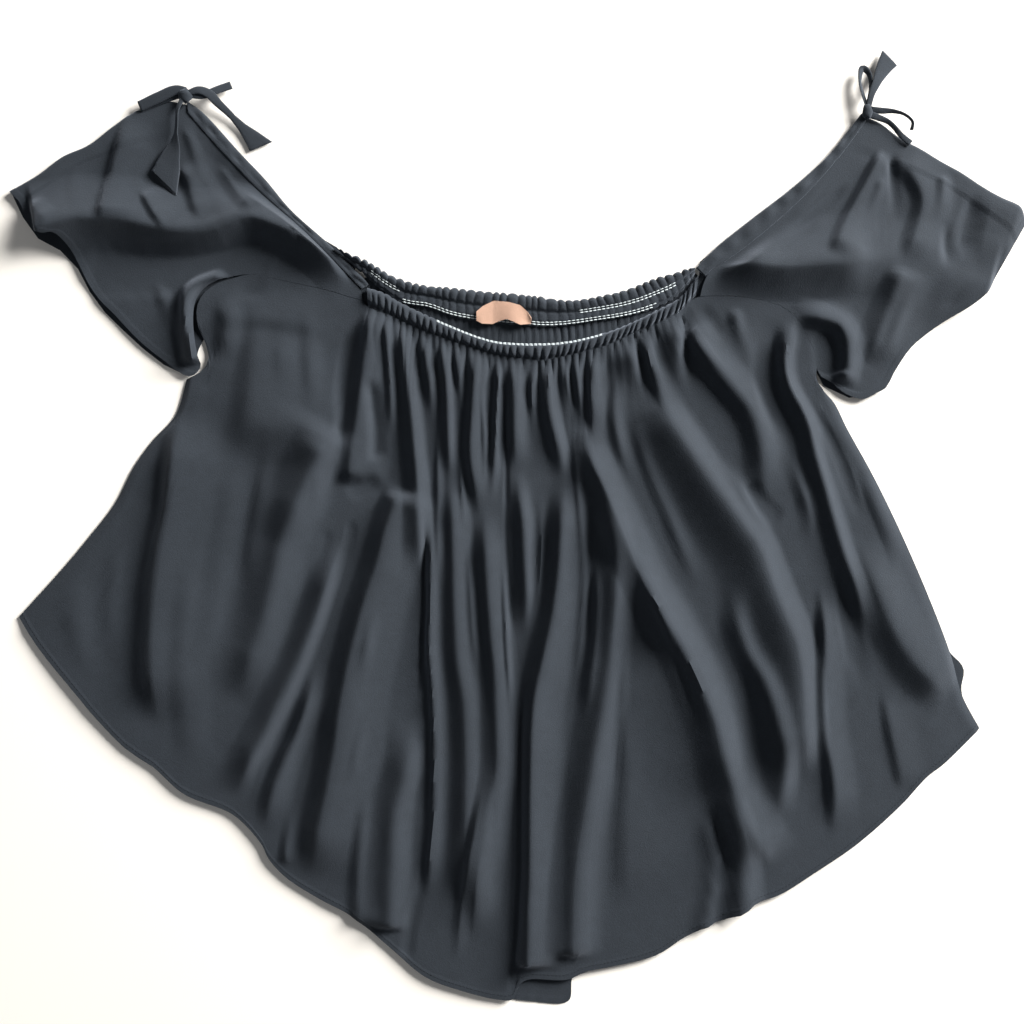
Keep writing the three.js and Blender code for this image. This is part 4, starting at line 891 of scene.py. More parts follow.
def shell(name, grid, thickness, raised=0.0):
    """A closed sheet of even thickness on both sides of a grid of middle points. raised adds to its top."""
    rows, columns = grid.shape[:2]
    normal = normals_of(grid)
    raised = np.zeros((rows, columns)) + raised
    if normal[..., 2].sum() < 0:
        grid, normal, raised = grid[:, ::-1], -normal[:, ::-1], raised[:, ::-1]
    upper = grid + normal * (thickness / 2 + raised[..., None])
    lower = grid - normal * thickness / 2
    lower[..., 2] = np.maximum(lower[..., 2], FLOOR_CLEAR)
    count = rows * columns
    rim = np.concatenate([
        np.arange(columns - 1),
        np.arange(rows - 1) * columns + columns - 1,
        (rows - 1) * columns + np.arange(columns - 1, 0, -1),
        np.arange(rows - 1, 0, -1) * columns,
    ])
    after = np.roll(rim, -1)
    sides = np.stack([rim, after, after + count, rim + count], axis=1)
    faces = np.vstack([grid_faces(rows, columns), grid_faces(rows, columns, count, flip=True), sides])
    sheet = mesh_piece(name, np.vstack([upper.reshape(-1, 3), lower.reshape(-1, 3)]), faces)
    sheet.data.set_sharp_from_angle(angle=math.radians(SHARP_ANGLE))
    return sheet


def tube(name, rings):
    """A closed solid through rings of points, with flat ends."""
    rings = np.asarray(rings, float)
    rows, columns = rings.shape[:2]
    return outwards(mesh_piece(name, rings.reshape(-1, 3), tube_faces(rows, columns)))


def outwards(piece):
    """Turns a closed piece's faces outwards."""
    mesh = piece.data
    mesh.calc_loop_triangles()
    points = np.empty(len(mesh.vertices) * 3)
    mesh.vertices.foreach_get("co", points)
    corners = np.empty(len(mesh.loop_triangles) * 3, np.int32)
    mesh.loop_triangles.foreach_get("vertices", corners)
    a, b, c = points.reshape(-1, 3)[corners.reshape(-1, 3)].transpose(1, 0, 2)
    if np.einsum("ij,ij->i", a, np.cross(b, c)).sum() < 0:
        mesh.flip_normals()
    return piece


# Stitches of the hem and of the neck, the shares of a stitch's length with its thickness there, and its sides.
HEM_STITCH = Stitch(2.3, 0.8, 0.28, 0.2)
NECK_STITCH = Stitch(3.0, 0.5, 0.5, 0.4)
STITCH_SWELL = ((0.0, 0.35), (0.18, 0.85), (0.5, 1.0), (0.82, 0.85), (1.0, 0.35))
STITCH_SIDES = 6


def stitches(name, path, normal, stitch):
    """A row of stitches as one piece: each a small rounded bar that lies on the cloth."""
    run = run_lengths(path)
    shares, swell = np.array(STITCH_SWELL).T
    turns = np.linspace(0, 2 * math.pi, STITCH_SIDES, endpoint=False)
    section = np.array([(math.cos(a), math.sin(a)) for a in turns])
    wide, high = section[None, :, :1] * stitch.width, section[None, :, 1:] * stitch.height
    points, faces = [], []
    for s in np.arange(0.5 * stitch.space, run[-1] - stitch.length, stitch.length + stitch.space):
        places = s + shares * stitch.length
        middle = resample(path, places)
        up = unit(np.stack([np.interp(places, run, normal[:, k]) for k in range(3)], axis=1))
        ahead = unit(np.gradient(middle, axis=0))
        side = np.cross(ahead, up)
        rings = middle[:, None] + swell[:, None, None] * (side[:, None] * wide + up[:, None] * high)
        faces += tube_faces(len(shares), STITCH_SIDES, len(points) * rings.shape[0] * STITCH_SIDES)
        points.append(rings.reshape(-1, 3))
    return outwards(mesh_piece(name, np.vstack(points), faces))


# The cloth pieces' grids.


def neck_puckers(grid, ends, pitch, wander):
    """For the small puckers under a neck casing: where along the neck they are, how far below it each point of
    the panel lies, and the puckers themselves."""
    along = run_lengths(grid[:, 0])[:, None]
    down = rows_run(plan_only(grid))
    puckers = pucker(2 * math.pi * along / pitch + uneven(wander, along * np.ones_like(down), down))
    return between(grid[:, :1, 0], *ends, PUCKER_FADE), down, puckers


def front_grid():
    """Middle points of the front panel: columns from its left side to its right, rows from neck to hem."""
    grid = with_hem(plan_grid(FRONT_LINES, FRONT["top"], FRONT["hem"], FRONT_FINER), FRONT_FINE_ROWS)
    height = front_height(grid[..., 0], grid[..., 1], depth=settings().fold_depth)
    at_neck, down, puckers = neck_puckers(grid, PUCKER_ENDS, GATHER_PITCH, PUCKER_WANDER)
    height += at_neck * PUCKER_DEPTH * (PUCKER_BASE + puckers) * np.exp(-down / PUCKER_REACH)
    # side seams come down to the back panel
    seam = side_drop(grid)
    height = (height - SEAM_HEIGHT) * seam + SEAM_HEIGHT
    grid[..., 2] = np.maximum(height, FRONT_SHELL_LOWEST * seam + SEAM_HEIGHT * (1 - seam))
    return grid


def side_drop(grid):
    """1 over the panel, falling to 0 at its side seams."""
    plan = grid[..., :2]
    left = np.linalg.norm(plan - plan[:1], axis=2)
    right = np.linalg.norm(plan - plan[-1:], axis=2)
    return ease(np.minimum(left, right) / SEAM_ROUND)


def back_grid():
    """Middle points of the back panel, flat under the front, with its own low creases."""
    grid = with_hem(plan_grid(BACK_LINES, BACK["top"], BACK["hem"], BACK_FINER), BACK_FINE_ROWS)
    x, y = grid[..., 0], grid[..., 1]
    low = uneven(BACK_WAVES, x, y) + uneven(BACK_RIPPLES, x, y)
    at_neck, down, puckers = neck_puckers(grid, BACK_PUCKER_ENDS, BACK_PITCH, BACK_PUCKER_WANDER)
    # the puckers stand up only between the casings, and lie flat where the front casing covers them
    shown = ease((y - np.interp(x, *np.array(CASING_FRONT["upper"]).T) - SHOWN_FROM) / SHOWN_FADE)
    puckers = BACK_PUCKER_BASE + BACK_PUCKER_DEPTH * puckers
    lift = at_neck * shown * puckers * np.exp(-((down / BACK_PUCKER_REACH) ** 2))
    grid[..., 2] = BACK_SHELL_MIDDLE + np.clip(low, *BACK_WAVE_LIMITS) + lift
    return grid


def plan_only(grid):
    """A grid without its heights."""
    return grid[..., :2]


def sleeve_grid(cut):
    """A sleeve's middle points: rows from the front seam up over the fold and down its back layer, and stations
    from its hem to its neck edge."""
    front = plan_grid(cut["front_rows"], cut["hem"], cut["neck"], SLEEVE_FINER)
    front = with_hem(front, SLEEVE_STATIONS, at_start=True)
    count = len(front)
    loft = np.where(np.arange(count) > count - FOLD_ROWS, FOLD_LOFT, FRONT_LOFT)[:, None]
    height = front_height(front[..., 0], front[..., 1], loft, settings().fold_depth)
    run = rows_run(plan_only(front))
    free = ease((run[:, -1:] - run) / NECK_EDGE_REACH)
    front[..., 2] = NECK_EDGE_HEIGHT + (height - NECK_EDGE_HEIGHT) * free
    fold = front[-1]
    back_rows = [(cut["front_rows"][-1][0], BACK_LAYER_ROWS), (cut["back_seam"], 0)]
    back = with_hem(plan_grid(back_rows, cut["back_hem"], cut["back_neck"]), SLEEVE_STATIONS, at_start=True)
    back[..., 2] = BACK_SHELL_MIDDLE
    outward = np.array(cut["outward"])
    radius = (fold[:, 2] - BACK_SHELL_MIDDLE) / 2
    turn = []
    for share in np.linspace(0, 1, TURN_STEPS)[1:-1]:
        row = (1 - share) * fold + share * back[0]
        row[:, :2] += outward * (radius * math.sin(math.pi * share))[:, None]
        row[:, 2] = BACK_SHELL_MIDDLE + radius * (1 + math.cos(math.pi * share))
        turn.append(row)
    return np.concatenate([front, np.array(turn), back])


# Height of a neck casing, its mean width, how flat its puffs are, and the share of its length over which they
# fade at both ends.
CASING_HEIGHT = 6.4
CASING_WIDTH = 12
CASING_FLATNESS = 2.4
CASING_TAPER = 0.02
CASING_FINENESS = 11

# How the gathers of a casing wander, and how their depth changes: size and wavelength.
GATHER_WANDER = (1.5, 34)
GATHER_SHIVER = (0.5, 13)
GATHER_CHANGE = (0.35, 23)

# The front casing's lip over the panel, the back casing's pitch, and the seeds of all four casings.
FRONT_LIP = 2.6
BACK_CASING_PITCH = 6.4
FRONT_CASING_SEED = 31
BACK_CASING_SEED = 41
STRIP_LEFT_SEED = 51
STRIP_RIGHT_SEED = 52

# Where a casing's lip starts to lie on the cloth below and over what share it comes down, how clear of the
# cloth it stays and how thick it is.
CASING_LIP_FROM = 0.6
CASING_LIP_FADE = 0.25
STRIP_LIP_FROM = 0.5
STRIP_LIP_FADE = 0.32
LIP_CLEAR = 0.4
LIP_HEIGHT = 1.1
LIP_PUCKER = 0.5


def gather_phase(along, across, pitch, seed):
    """Phase of uneven gathers: a length of band and a place across it."""
    wander = uneven(Unevenness(*GATHER_WANDER, seed), along, across)
    return 2 * math.pi * along / pitch + wander + uneven(Unevenness(*GATHER_SHIVER, seed + 1), along, across)


def casing_rings(edges, profile, pitch, depth, seed, lip=0.0):
    """Rings of points round a gathered casing. profile has the share across, the rise and how free the cloth is
    to pucker there. With a lip, its lower edge reaches over the gathers of the panel and lies on them."""
    upper, lower = Line(edges["upper"]), Line(edges["lower"])
    count = int(round(upper.length / pitch)) * CASING_FINENESS
    t = np.linspace(0, 1, count + 1)
    a, b = upper.at(t)[:, :2], lower.at(t)[:, :2]
    across = b - a
    width = np.linalg.norm(across, axis=1, keepdims=True)
    b = b + lip * across / width
    share, rise, free = spline([*profile, profile[0]], per_segment=5)[:-1].T
    out = np.stack([share - share.mean(), rise - rise.mean()], axis=1)
    out[:, 0] *= CASING_FLATNESS
    out = unit(out)
    along = (t * upper.length)[:, None] + 0 * share[None]
    phase = gather_phase(along, CASING_WIDTH * share[None] + 0 * along, pitch, seed)
    swell = pucker(phase) * free[None]
    swell *= depth * (1 + uneven(Unevenness(*GATHER_CHANGE, seed + 2), along, 0 * along))
    swell *= between(t, 0, 1, CASING_TAPER)[:, None]
    sideways = (across / width)[:, None] * (swell * out[None, :, 0])[..., None]
    plan = a[:, None] + share[None, :, None] * (b - a)[:, None] + sideways
    z = UNDER_CASING + rise[None] * CASING_HEIGHT + swell * out[None, :, 1]
    if lip:
        on_panel = front_height(plan[..., 0], plan[..., 1], depth=settings().fold_depth)
        on_panel = on_panel + LIP_CLEAR + LIP_HEIGHT * rise[None] + LIP_PUCKER * np.maximum(swell, 0)
        lies = ease((share[None] - CASING_LIP_FROM) / CASING_LIP_FADE)
        z = z * (1 - lies) + on_panel * lies
    return np.concatenate([plan, np.maximum(z, UNDER_CASING)[..., None]], axis=2)


# The casings' cross-sections: share across, rise and freedom to pucker.
FRONT_PROFILE = [
    (-0.06, 0.5, 0.4), (0.06, 0.86, 0.3), (0.3, 1.0, 0.9), (0.62, 0.94, 1.0), (0.9, 0.6, 0.5),
    (0.96, 0.28, 0.2), (0.8, 0.05, 0.1), (0.4, 0.02, 0.1), (0.08, 0.06, 0.2),
]
BACK_PROFILE = [
    (0.0, 0.4, 0.9), (0.06, 0.8, 1.0), (0.2, 1.0, 1.0), (0.38, 0.9, 0.8), (0.51, 0.62, 0.25), (0.62, 0.66, 0.7),
    (0.78, 0.66, 0.7), (0.9, 0.5, 0.25), (1.0, 0.42, 0.6), (1.0, 0.25, 0.4), (0.7, 0.05, 0.1), (0.2, 0.05, 0.2),
]


# A shoulder casing: its height, how far its lip reaches over the sleeve, its stations, its unevenness, the rise
# above which it shows, and its cross-section as shares across and up.
STRIP_HEIGHT = 3.4
STRIP_LIP = 1.8
STRIP_STATIONS = 150
STRIP_WAVE = (0.16, 17)
STRIP_WAVE_FROM = 0.3
STRIP_PROFILE = [
    (0.02, 0.3), (0.08, 0.72), (0.2, 0.92), (0.5, 1.0), (0.72, 0.92), (0.8, 0.8), (0.86, 0.84), (0.97, 0.7),
    (1.0, 0.4), (0.96, 0.1), (0.5, 0.04), (0.06, 0.06),
]


def strip_rings(edges, seed):
    """Rings of points round a plain shoulder casing, a little uneven along its length."""
    outer, inner = Line(edges["outer"]), Line(edges["inner"])
    t = np.linspace(0, 1, STRIP_STATIONS)
    a, b = outer.at(t)[:, :2], inner.at(t)[:, :2]
    b = b + STRIP_LIP * (b - a) / np.linalg.norm(b - a, axis=1, keepdims=True)
    loop = spline([*STRIP_PROFILE, STRIP_PROFILE[0]], per_segment=4)[:-1]
    share, rise = loop[:, 0], loop[:, 1]
    plan = a[:, None] + share[None, :, None] * (b - a)[:, None]
    along = (t * outer.length)[:, None] + 0 * share[None]
    wave = 1 + uneven(Unevenness(*STRIP_WAVE, seed), along, CASING_WIDTH * share[None] + 0 * along)
    wave = np.where(rise[None] > STRIP_WAVE_FROM, wave, 1)
    z = UNDER_CASING + STRIP_HEIGHT * rise[None] * wave
    on_sleeve = NECK_EDGE_HEIGHT + LIP_CLEAR + LIP_HEIGHT * rise[None] * wave
    lies = ease((share[None] - STRIP_LIP_FROM) / STRIP_LIP_FADE)
    z = z * (1 - lies) + on_sleeve * lies
    return np.concatenate([plan, z[..., None]], axis=2)


# The ties' tape: its thickness, the length of a step, the fewest steps, the sides of its section, how square
# that is, and the low groove along its middle.
TAPE_THICKNESS = 1.3
TAPE_STEP = 1.3
TAPE_FEWEST_STEPS = 18
TAPE_SIDES = 10
TAPE_SQUARENESS = 0.6
TAPE_GROOVE = 0.25
TAPE_GROOVE_WIDTH = 0.45


def spread_along(t, values):
    """Values that are spread evenly along a line, at shares of its length."""
    return np.interp(t, np.linspace(0, 1, len(values)), values)


def tape_points(line, widths, roll):
    """Rings round a flat tape that follows a line with heights, with its width and its roll along the way."""
    t = np.linspace(0, 1, max(TAPE_FEWEST_STEPS, int(line.length / TAPE_STEP)))
    ahead = unit(line.at(t + 0.01) - line.at(t - 0.01))
    side = unit(np.cross([0, 0, 1], ahead))
    up = np.cross(ahead, side)
    width = spread_along(t, widths)[:, None, None]
    angle = np.radians(spread_along(t, roll)[:, None])
    across = side * np.cos(angle) + up * np.sin(angle)
    above = up * np.cos(angle) - side * np.sin(angle)
    a = np.linspace(0, 2 * math.pi, TAPE_SIDES, endpoint=False)
    u = np.sign(np.cos(a)) * np.abs(np.cos(a)) ** TAPE_SQUARENESS
    v = np.sin(a) * (1 - TAPE_GROOVE * np.exp(-((u / TAPE_GROOVE_WIDTH) ** 2)))
    wide = across[:, None] * u[None, :, None] * width / 2
    return line.at(t)[:, None] + wide + above[:, None] * v[None, :, None] * TAPE_THICKNESS / 2


def joined(name, pieces):
    """One piece from several."""
    bpy.ops.object.select_all(action="DESELECT")
    for piece in pieces:
        piece.select_set(True)
    bpy.context.view_layer.objects.active = pieces[0]
    bpy.ops.object.join()
    pieces[0].name = name
    pieces[0].data.name = name
    return pieces[0]


# Settings.


class SwingTopSettings(bpy.types.PropertyGroup):
    """Sizes and colours of the top that a user would change."""

    cloth_colour: bpy.props.FloatVectorProperty(
        name="Cloth colour", description="Colour of the sueded cloth", subtype="COLOR", size=3, min=0, max=1,
        default=(0.021, 0.0262, 0.0335))
    thread_colour: bpy.props.FloatVectorProperty(
        name="Inside thread colour", description="Colour of the twin stitching inside the neck",
        subtype="COLOR", size=3, min=0, max=1, default=(0.62, 0.68, 0.70))
    label_colour: bpy.props.FloatVectorProperty(
        name="Label colour", description="Colour of the plain ribbon label", subtype="COLOR", size=3, min=0,
        max=1, default=(0.6, 0.38, 0.28))
    floor_colour: bpy.props.FloatVectorProperty(
        name="Floor colour", description="Colour of the pale floor", subtype="COLOR", size=3, min=0, max=1,
        default=(0.98, 0.94, 0.88))
    cloth_thickness: bpy.props.FloatProperty(
        name="Cloth thickness", description="Thickness of one layer of cloth", unit="LENGTH", min=0.0002,
        max=0.0012, default=0.0006)
    hem_step: bpy.props.FloatProperty(
        name="Hem step", description="How much thicker the turned hem is than the cloth", unit="LENGTH",
        min=0, max=0.001, default=0.0002)
    gather_depth: bpy.props.FloatProperty(
        name="Gather depth", description="How far the casings pucker", unit="LENGTH", min=0, max=0.003,
        default=0.00115)
    fold_depth: bpy.props.FloatProperty(
        name="Fold depth", description="Height of the folds as a share of the modelled height",
        subtype="FACTOR", min=0, max=1.6, default=1.3)
    nap: bpy.props.FloatProperty(
        name="Nap", description="Strength of the soft sheen of the sueded surface", subtype="FACTOR",
        min=0, max=1, default=0.35)
    key_power: bpy.props.FloatProperty(
        name="Key light", description="Power of the soft light from the upper right", unit="POWER", min=0,
        max=1500, default=385.0)


def settings():
    """The scene's settings of the top."""
    return bpy.context.scene.swing_top


# Materials.


def group_with(name, inputs, outputs):
    """An empty shader node group with named sockets."""
    tree = bpy.data.node_groups.new(name, "ShaderNodeTree")
    for label, kind, value in inputs:
        socket = tree.interface.new_socket(label, in_out="INPUT", socket_type=kind)
        socket.default_value = value
    for label, kind in outputs:
        tree.interface.new_socket(label, in_out="OUTPUT", socket_type=kind)
    return tree, tree.nodes.new("NodeGroupInput"), tree.nodes.new("NodeGroupOutput")


def math_node(tree, operation, *values):
    """The result of a new node that works on values or on other nodes' results."""
    node = tree.nodes.new("ShaderNodeMath")
    node.operation = operation
    for socket, value in zip(node.inputs, values):
        if isinstance(value, bpy.types.NodeSocket):
            tree.links.new(value, socket)
        else:
            socket.default_value = value
    return node.outputs[0]


def sueded_weave():
    """Fine plain weave under a short brushed nap, with a soft unevenness of shade."""
    found = bpy.data.node_groups.get("sueded_weave")
    if found:
        return found
    tree, given, made = group_with(
        "sueded_weave",
        [
            ("Colour", "NodeSocketColor", (0.5, 0.5, 0.5, 1)),
            ("Threads per metre", "NodeSocketFloat", 2400.0),
            ("Nap", "NodeSocketFloat", 0.5),
            ("Unevenness", "NodeSocketFloat", 0.5),
        ],
        [("Colour", "NodeSocketColor"), ("Roughness", "NodeSocketFloat"), ("Height", "NodeSocketFloat")],
    )
    links = tree.links
    place = tree.nodes.new("ShaderNodeTexCoord").outputs["Object"]
    apart = tree.nodes.new("ShaderNodeSeparateXYZ")
    links.new(place, apart.inputs[0])
    turn = math_node(tree, "MULTIPLY", given.outputs["Threads per metre"], math.pi)
    warp = math_node(tree, "SINE", math_node(tree, "MULTIPLY", apart.outputs["X"], turn))
    weft = math_node(tree, "SINE", math_node(tree, "MULTIPLY", apart.outputs["Y"], turn))
    weave = math_node(tree, "MULTIPLY", warp, weft)

    def noise(scale, detail):
        node = tree.nodes.new("ShaderNodeTexNoise")
        node.inputs["Scale"].default_value = scale
        node.inputs["Detail"].default_value = detail
        links.new(place, node.inputs["Vector"])
        return math_node(tree, "SUBTRACT", node.outputs["Fac"], 0.5)

    fuzz = math_node(tree, "MULTIPLY", noise(900, 4), given.outputs["Nap"])
    brushed = math_node(tree, "MULTIPLY", noise(120, 5), given.outputs["Unevenness"])
    cloudy = math_node(tree, "MULTIPLY", noise(14, 3), given.outputs["Unevenness"])
    shade = math_node(tree, "ADD", 1.0, math_node(tree, "ADD", math_node(tree, "MULTIPLY", fuzz, 0.9),
                      math_node(tree, "ADD", math_node(tree, "MULTIPLY", brushed, 0.55),
                                math_node(tree, "ADD", math_node(tree, "MULTIPLY", cloudy, 0.5),
                                          math_node(tree, "MULTIPLY", weave, 0.07)))))
    scale = tree.nodes.new("ShaderNodeVectorMath")
    scale.operation = "SCALE"
    links.new(given.outputs["Colour"], scale.inputs[0])
    links.new(shade, scale.inputs["Scale"])
    links.new(scale.outputs[0], made.inputs["Colour"])
    links.new(math_node(tree, "ADD", 0.9, math_node(tree, "MULTIPLY", fuzz, 0.3)), made.inputs["Roughness"])
    threads, fibres = math_node(tree, "MULTIPLY", weave, 0.35), math_node(tree, "MULTIPLY", fuzz, 2.2)
    links.new(math_node(tree, "ADD", threads, fibres), made.inputs["Height"])
    return tree


def cloth_material(name, colour, threads, nap, unevenness, roughness=None, sheen=0.0, bump=0.00012):
    """A woven material: the weave group feeds the shader, whose sheen is set on its own socket."""
    found = bpy.data.materials.get(name)
    if found:
        return found
    material = bpy.data.materials.new(name)
    material.use_nodes = True
    tree = material.node_tree
    shader = tree.nodes["Principled BSDF"]
    weave = tree.nodes.new("ShaderNodeGroup")
    weave.node_tree = sueded_weave()
    weave.inputs["Colour"].default_value = (*colour, 1)
    weave.inputs["Threads per metre"].default_value = threads
    weave.inputs["Nap"].default_value = nap
    weave.inputs["Unevenness"].default_value = unevenness
    tree.links.new(weave.outputs["Colour"], shader.inputs["Base Color"])
    if roughness is None:
        tree.links.new(weave.outputs["Roughness"], shader.inputs["Roughness"])
    else:
        shader.inputs["Roughness"].default_value = roughness
    rise = tree.nodes.new("ShaderNodeBump")
    rise.inputs["Strength"].default_value = 1.0
    rise.inputs["Distance"].default_value = bump
    tree.links.new(weave.outputs["Height"], rise.inputs["Height"])
    tree.links.new(rise.outputs[0], shader.inputs["Normal"])
    shader.inputs["Sheen Weight"].default_value = sheen
    shader.inputs["Sheen Roughness"].default_value = 0.45
    shader.inputs["Sheen Tint"].default_value = (0.75, 0.84, 1.0, 1)
    shader.inputs["Specular IOR Level"].default_value = 0.25
    return material


# Threads per metre of the cloth, of the sewing thread and of the ribbon.
CLOTH_THREADS = 2400
SEWING_THREADS = 4200
RIBBON_THREADS = 3600


def cloth():
    """The sueded cloth of the whole garment."""
    s = settings()
    return cloth_material("sueded_viscose", tuple(s.cloth_colour), CLOTH_THREADS, 0.9, 0.5, sheen=s.nap)


def navy_thread():
    """Sewing thread a little darker than the cloth."""
    colour = tuple(0.8 * c for c in settings().cloth_colour)
    return cloth_material("cloth_thread", colour, SEWING_THREADS, 0.4, 0.2)


def pale_thread():
    """The light thread inside the neck."""
    return cloth_material("pale_thread", tuple(settings().thread_colour), SEWING_THREADS, 0.5, 0.3)


def ribbon():
    """The label's smooth satin."""
    colour = tuple(settings().label_colour)
    return cloth_material("satin_ribbon", colour, RIBBON_THREADS, 0.15, 0.3, roughness=0.36, sheen=0.1)


def dress(piece, material, slot, *nodes):
    """Gives a piece its material, stands it in for its nodes and lets it ride on the model; slot is not used.
    """
    piece.data.materials.clear()
    piece.data.materials.append(material)
    if nodes:
        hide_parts(*nodes)
    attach(piece, "root")
    return piece


# Operators.


class PieceOperator(bpy.types.Operator):
    """Shared by the operators: build."""

    bl_options = {"REGISTER", "UNDO"}

    def execute(self, context):
        self.build(settings())
        return {"FINISHED"}


# The turned hem's thickness at its very edge as a share, and the rest to which it rolls up.
RIM_LEAST = 0.7
RIM_ROLL = 0.3


def hem_raise(grid, at_start, step):
    """How much the turned hem adds to the cloth: a step at its stitched edge and a rolled rim."""
    run = rows_run(grid)
    distance = run if at_start else run[:, -1:] - run
    inner, outer = HEM_ROWS[STEP_ROW], HEM_ROWS[STEP_ROW + 1]
    return step * (1 - ease((distance - inner) / (outer - inner))) * (RIM_LEAST + RIM_ROLL * ease(distance))


def hem_stitch(name, grid, lift):
    """Stitches along the hem at the end of a grid, on the cloth's upper side."""
    row = -1 - STITCHED_ROW
    normal = normals_of(grid)
    normal *= np.sign(normal[..., 2].sum())
    return stitches(name, grid[:, row] + normal[:, row] * lift, normal[:, row], HEM_STITCH)


class SWINGTOP_OT_front(PieceOperator):
    """Builds the front panel with its folds, hem and side seams"""

    bl_idname = "swing_top.front"
    bl_label = "Front panel"

    def build(self, s):
        grid = front_grid()
        thick, step = s.cloth_thickness / MM, s.hem_step / MM
        panel = shell("front_panel", grid, thick, hem_raise(grid, False, step))
        dress(panel, cloth(), "cloth", "front_body")
        hem = dress(hem_stitch("front_hem_stitch", grid, thick / 2 + step), navy_thread(), "cloth")


class SWINGTOP_OT_back(PieceOperator):
    """Builds the back panel under the front"""

    bl_idname = "swing_top.back"
    bl_label = "Back panel"

    def build(self, s):
        grid = back_grid()
        thick, step = s.cloth_thickness / MM, s.hem_step / MM
        panel = shell("back_panel", grid, thick, 0.5 * hem_raise(grid, False, step))
        dress(panel, cloth(), "cloth", "back_body")


class SWINGTOP_OT_sleeves(PieceOperator):
    """Builds both flutter sleeves, folded over at their top edges"""

    bl_idname = "swing_top.sleeves"
    bl_label = "Sleeves"

    def build(self, s):
        thick, step = s.cloth_thickness / MM, s.hem_step / MM
        for side, cut in (("left", SLEEVE_LEFT), ("right", SLEEVE_RIGHT)):
            grid = sleeve_grid(cut)
            facing = normals_of(grid)[..., 2]
            faces_up = ease(0.5 + 2 * facing * np.sign(facing.sum()))
            sleeve = shell(f"sleeve_{side}_cloth", grid, thick, hem_raise(grid, True, step) * faces_up)
            dress(sleeve, cloth(), "cloth", f"sleeve_{side}")


# Twin rows of light stitches inside the neck: their casing, the share of its width and their spans along X.
NECK_STITCH_ROWS = {
    "back_lower": ("back", 0.9, [(-91, 112)]),
    "back_upper": ("back", 0.51, [(-116, -92), (50, 128)]),
    "front": ("front", 0.02, [(-64, 71)]),
}
TWIN_SHIFTS = (-0.9, 0.9)


class SWINGTOP_OT_neck(PieceOperator):
    """Builds the two gathered neck casings and the pale twin stitching inside the neck"""

    bl_idname = "swing_top.neck"
    bl_label = "Neck casings"

    def build(self, s):
        depth = s.gather_depth / MM
        rings = {
            "front": casing_rings(
                CASING_FRONT, FRONT_PROFILE, GATHER_PITCH, depth, FRONT_CASING_SEED, lip=FRONT_LIP),
            "back": casing_rings(CASING_BACK, BACK_PROFILE, BACK_CASING_PITCH, depth, BACK_CASING_SEED),
        }
        front = dress(tube("neck_casing_front_cloth", rings["front"]), cloth(), "cloth", "neck_casing_front")
        back = dress(tube("neck_casing_back_cloth", rings["back"]), cloth(), "cloth", "neck_casing_back")
        made = {"front": [], "back": []}
        for name, (side, place, spans) in NECK_STITCH_ROWS.items():
            for k, shift in enumerate(TWIN_SHIFTS):
                path, normal = row_on(rings[side], place, shift)
                for m, (low, high) in enumerate(spans):
                    inside = (path[:, 0] > low) & (path[:, 0] < high)
                    row = stitches(f"neck_stitch_{name}_{k}{m}", path[inside], normal[inside], NECK_STITCH)
                    made[side].append(dress(row, pale_thread(), "cloth"))


# A row of stitches keeps this far inside a casing's edges, is smoothed over this many rings to each side, and
# lies this far above the cloth.
ROW_MARGIN = 0.05
ROW_SMOOTHING = 9
ROW_LIFT = 0.3


def crossings(ring, y):
    """Where a ring round a casing is at y: the height there, and the ring's points before and after."""
    found = []
    for p, q in zip(ring, np.roll(ring, -1, axis=0)):
        if min(p[1], q[1]) <= y <= max(p[1], q[1]) and abs(q[1] - p[1]) > 1e-6:
            found.append((p[2] + (q[2] - p[2]) * (y - p[1]) / (q[1] - p[1]), p, q))
    return found


def row_on(rings, place, shift):
    """A line along a casing's upper side at a share of its width, moved across by shift, with its normals."""
    out, normals = [], []
    for ring in rings:
        low, high = ring[:, 1].min(), ring[:, 1].max()
        y = high - place * (high - low) - shift
        hits = crossings(ring, y)
        if not hits:
            y = np.clip(y, low + ROW_MARGIN, high - ROW_MARGIN)
            hits = crossings(ring, y)
        _, p, q = max(hits, key=lambda hit: hit[0])
        out.append(p + (q - p) * ((y - p[1]) / (q[1] - p[1])))
        normals.append((0, (p[2] - q[2]) * np.sign(q[1] - p[1]), abs(q[1] - p[1])))
    out = np.array(out)
    kernel = np.hanning(2 * ROW_SMOOTHING + 3)[1:-1]
    for k, clear in enumerate((0, 0, ROW_LIFT)):
        padded = np.pad(out[:, k], ROW_SMOOTHING, mode="edge")
        out[:, k] = np.convolve(padded, kernel / kernel.sum(), mode="valid") + clear
    return out, unit(np.array(normals, float))


class SWINGTOP_OT_shoulders(PieceOperator):
    """Builds the plain shoulder casings through which the ties run"""

    bl_idname = "swing_top.shoulders"
    bl_label = "Shoulder casings"

    def build(self, s):
        strips = (("left", STRIP_LEFT, STRIP_LEFT_SEED), ("right", STRIP_RIGHT, STRIP_RIGHT_SEED))
        for side, edges, seed in strips:
            strip = tube(f"shoulder_casing_{side}_cloth", strip_rings(edges, seed))
            dress(strip, cloth(), "cloth", f"shoulder_casing_{side}")


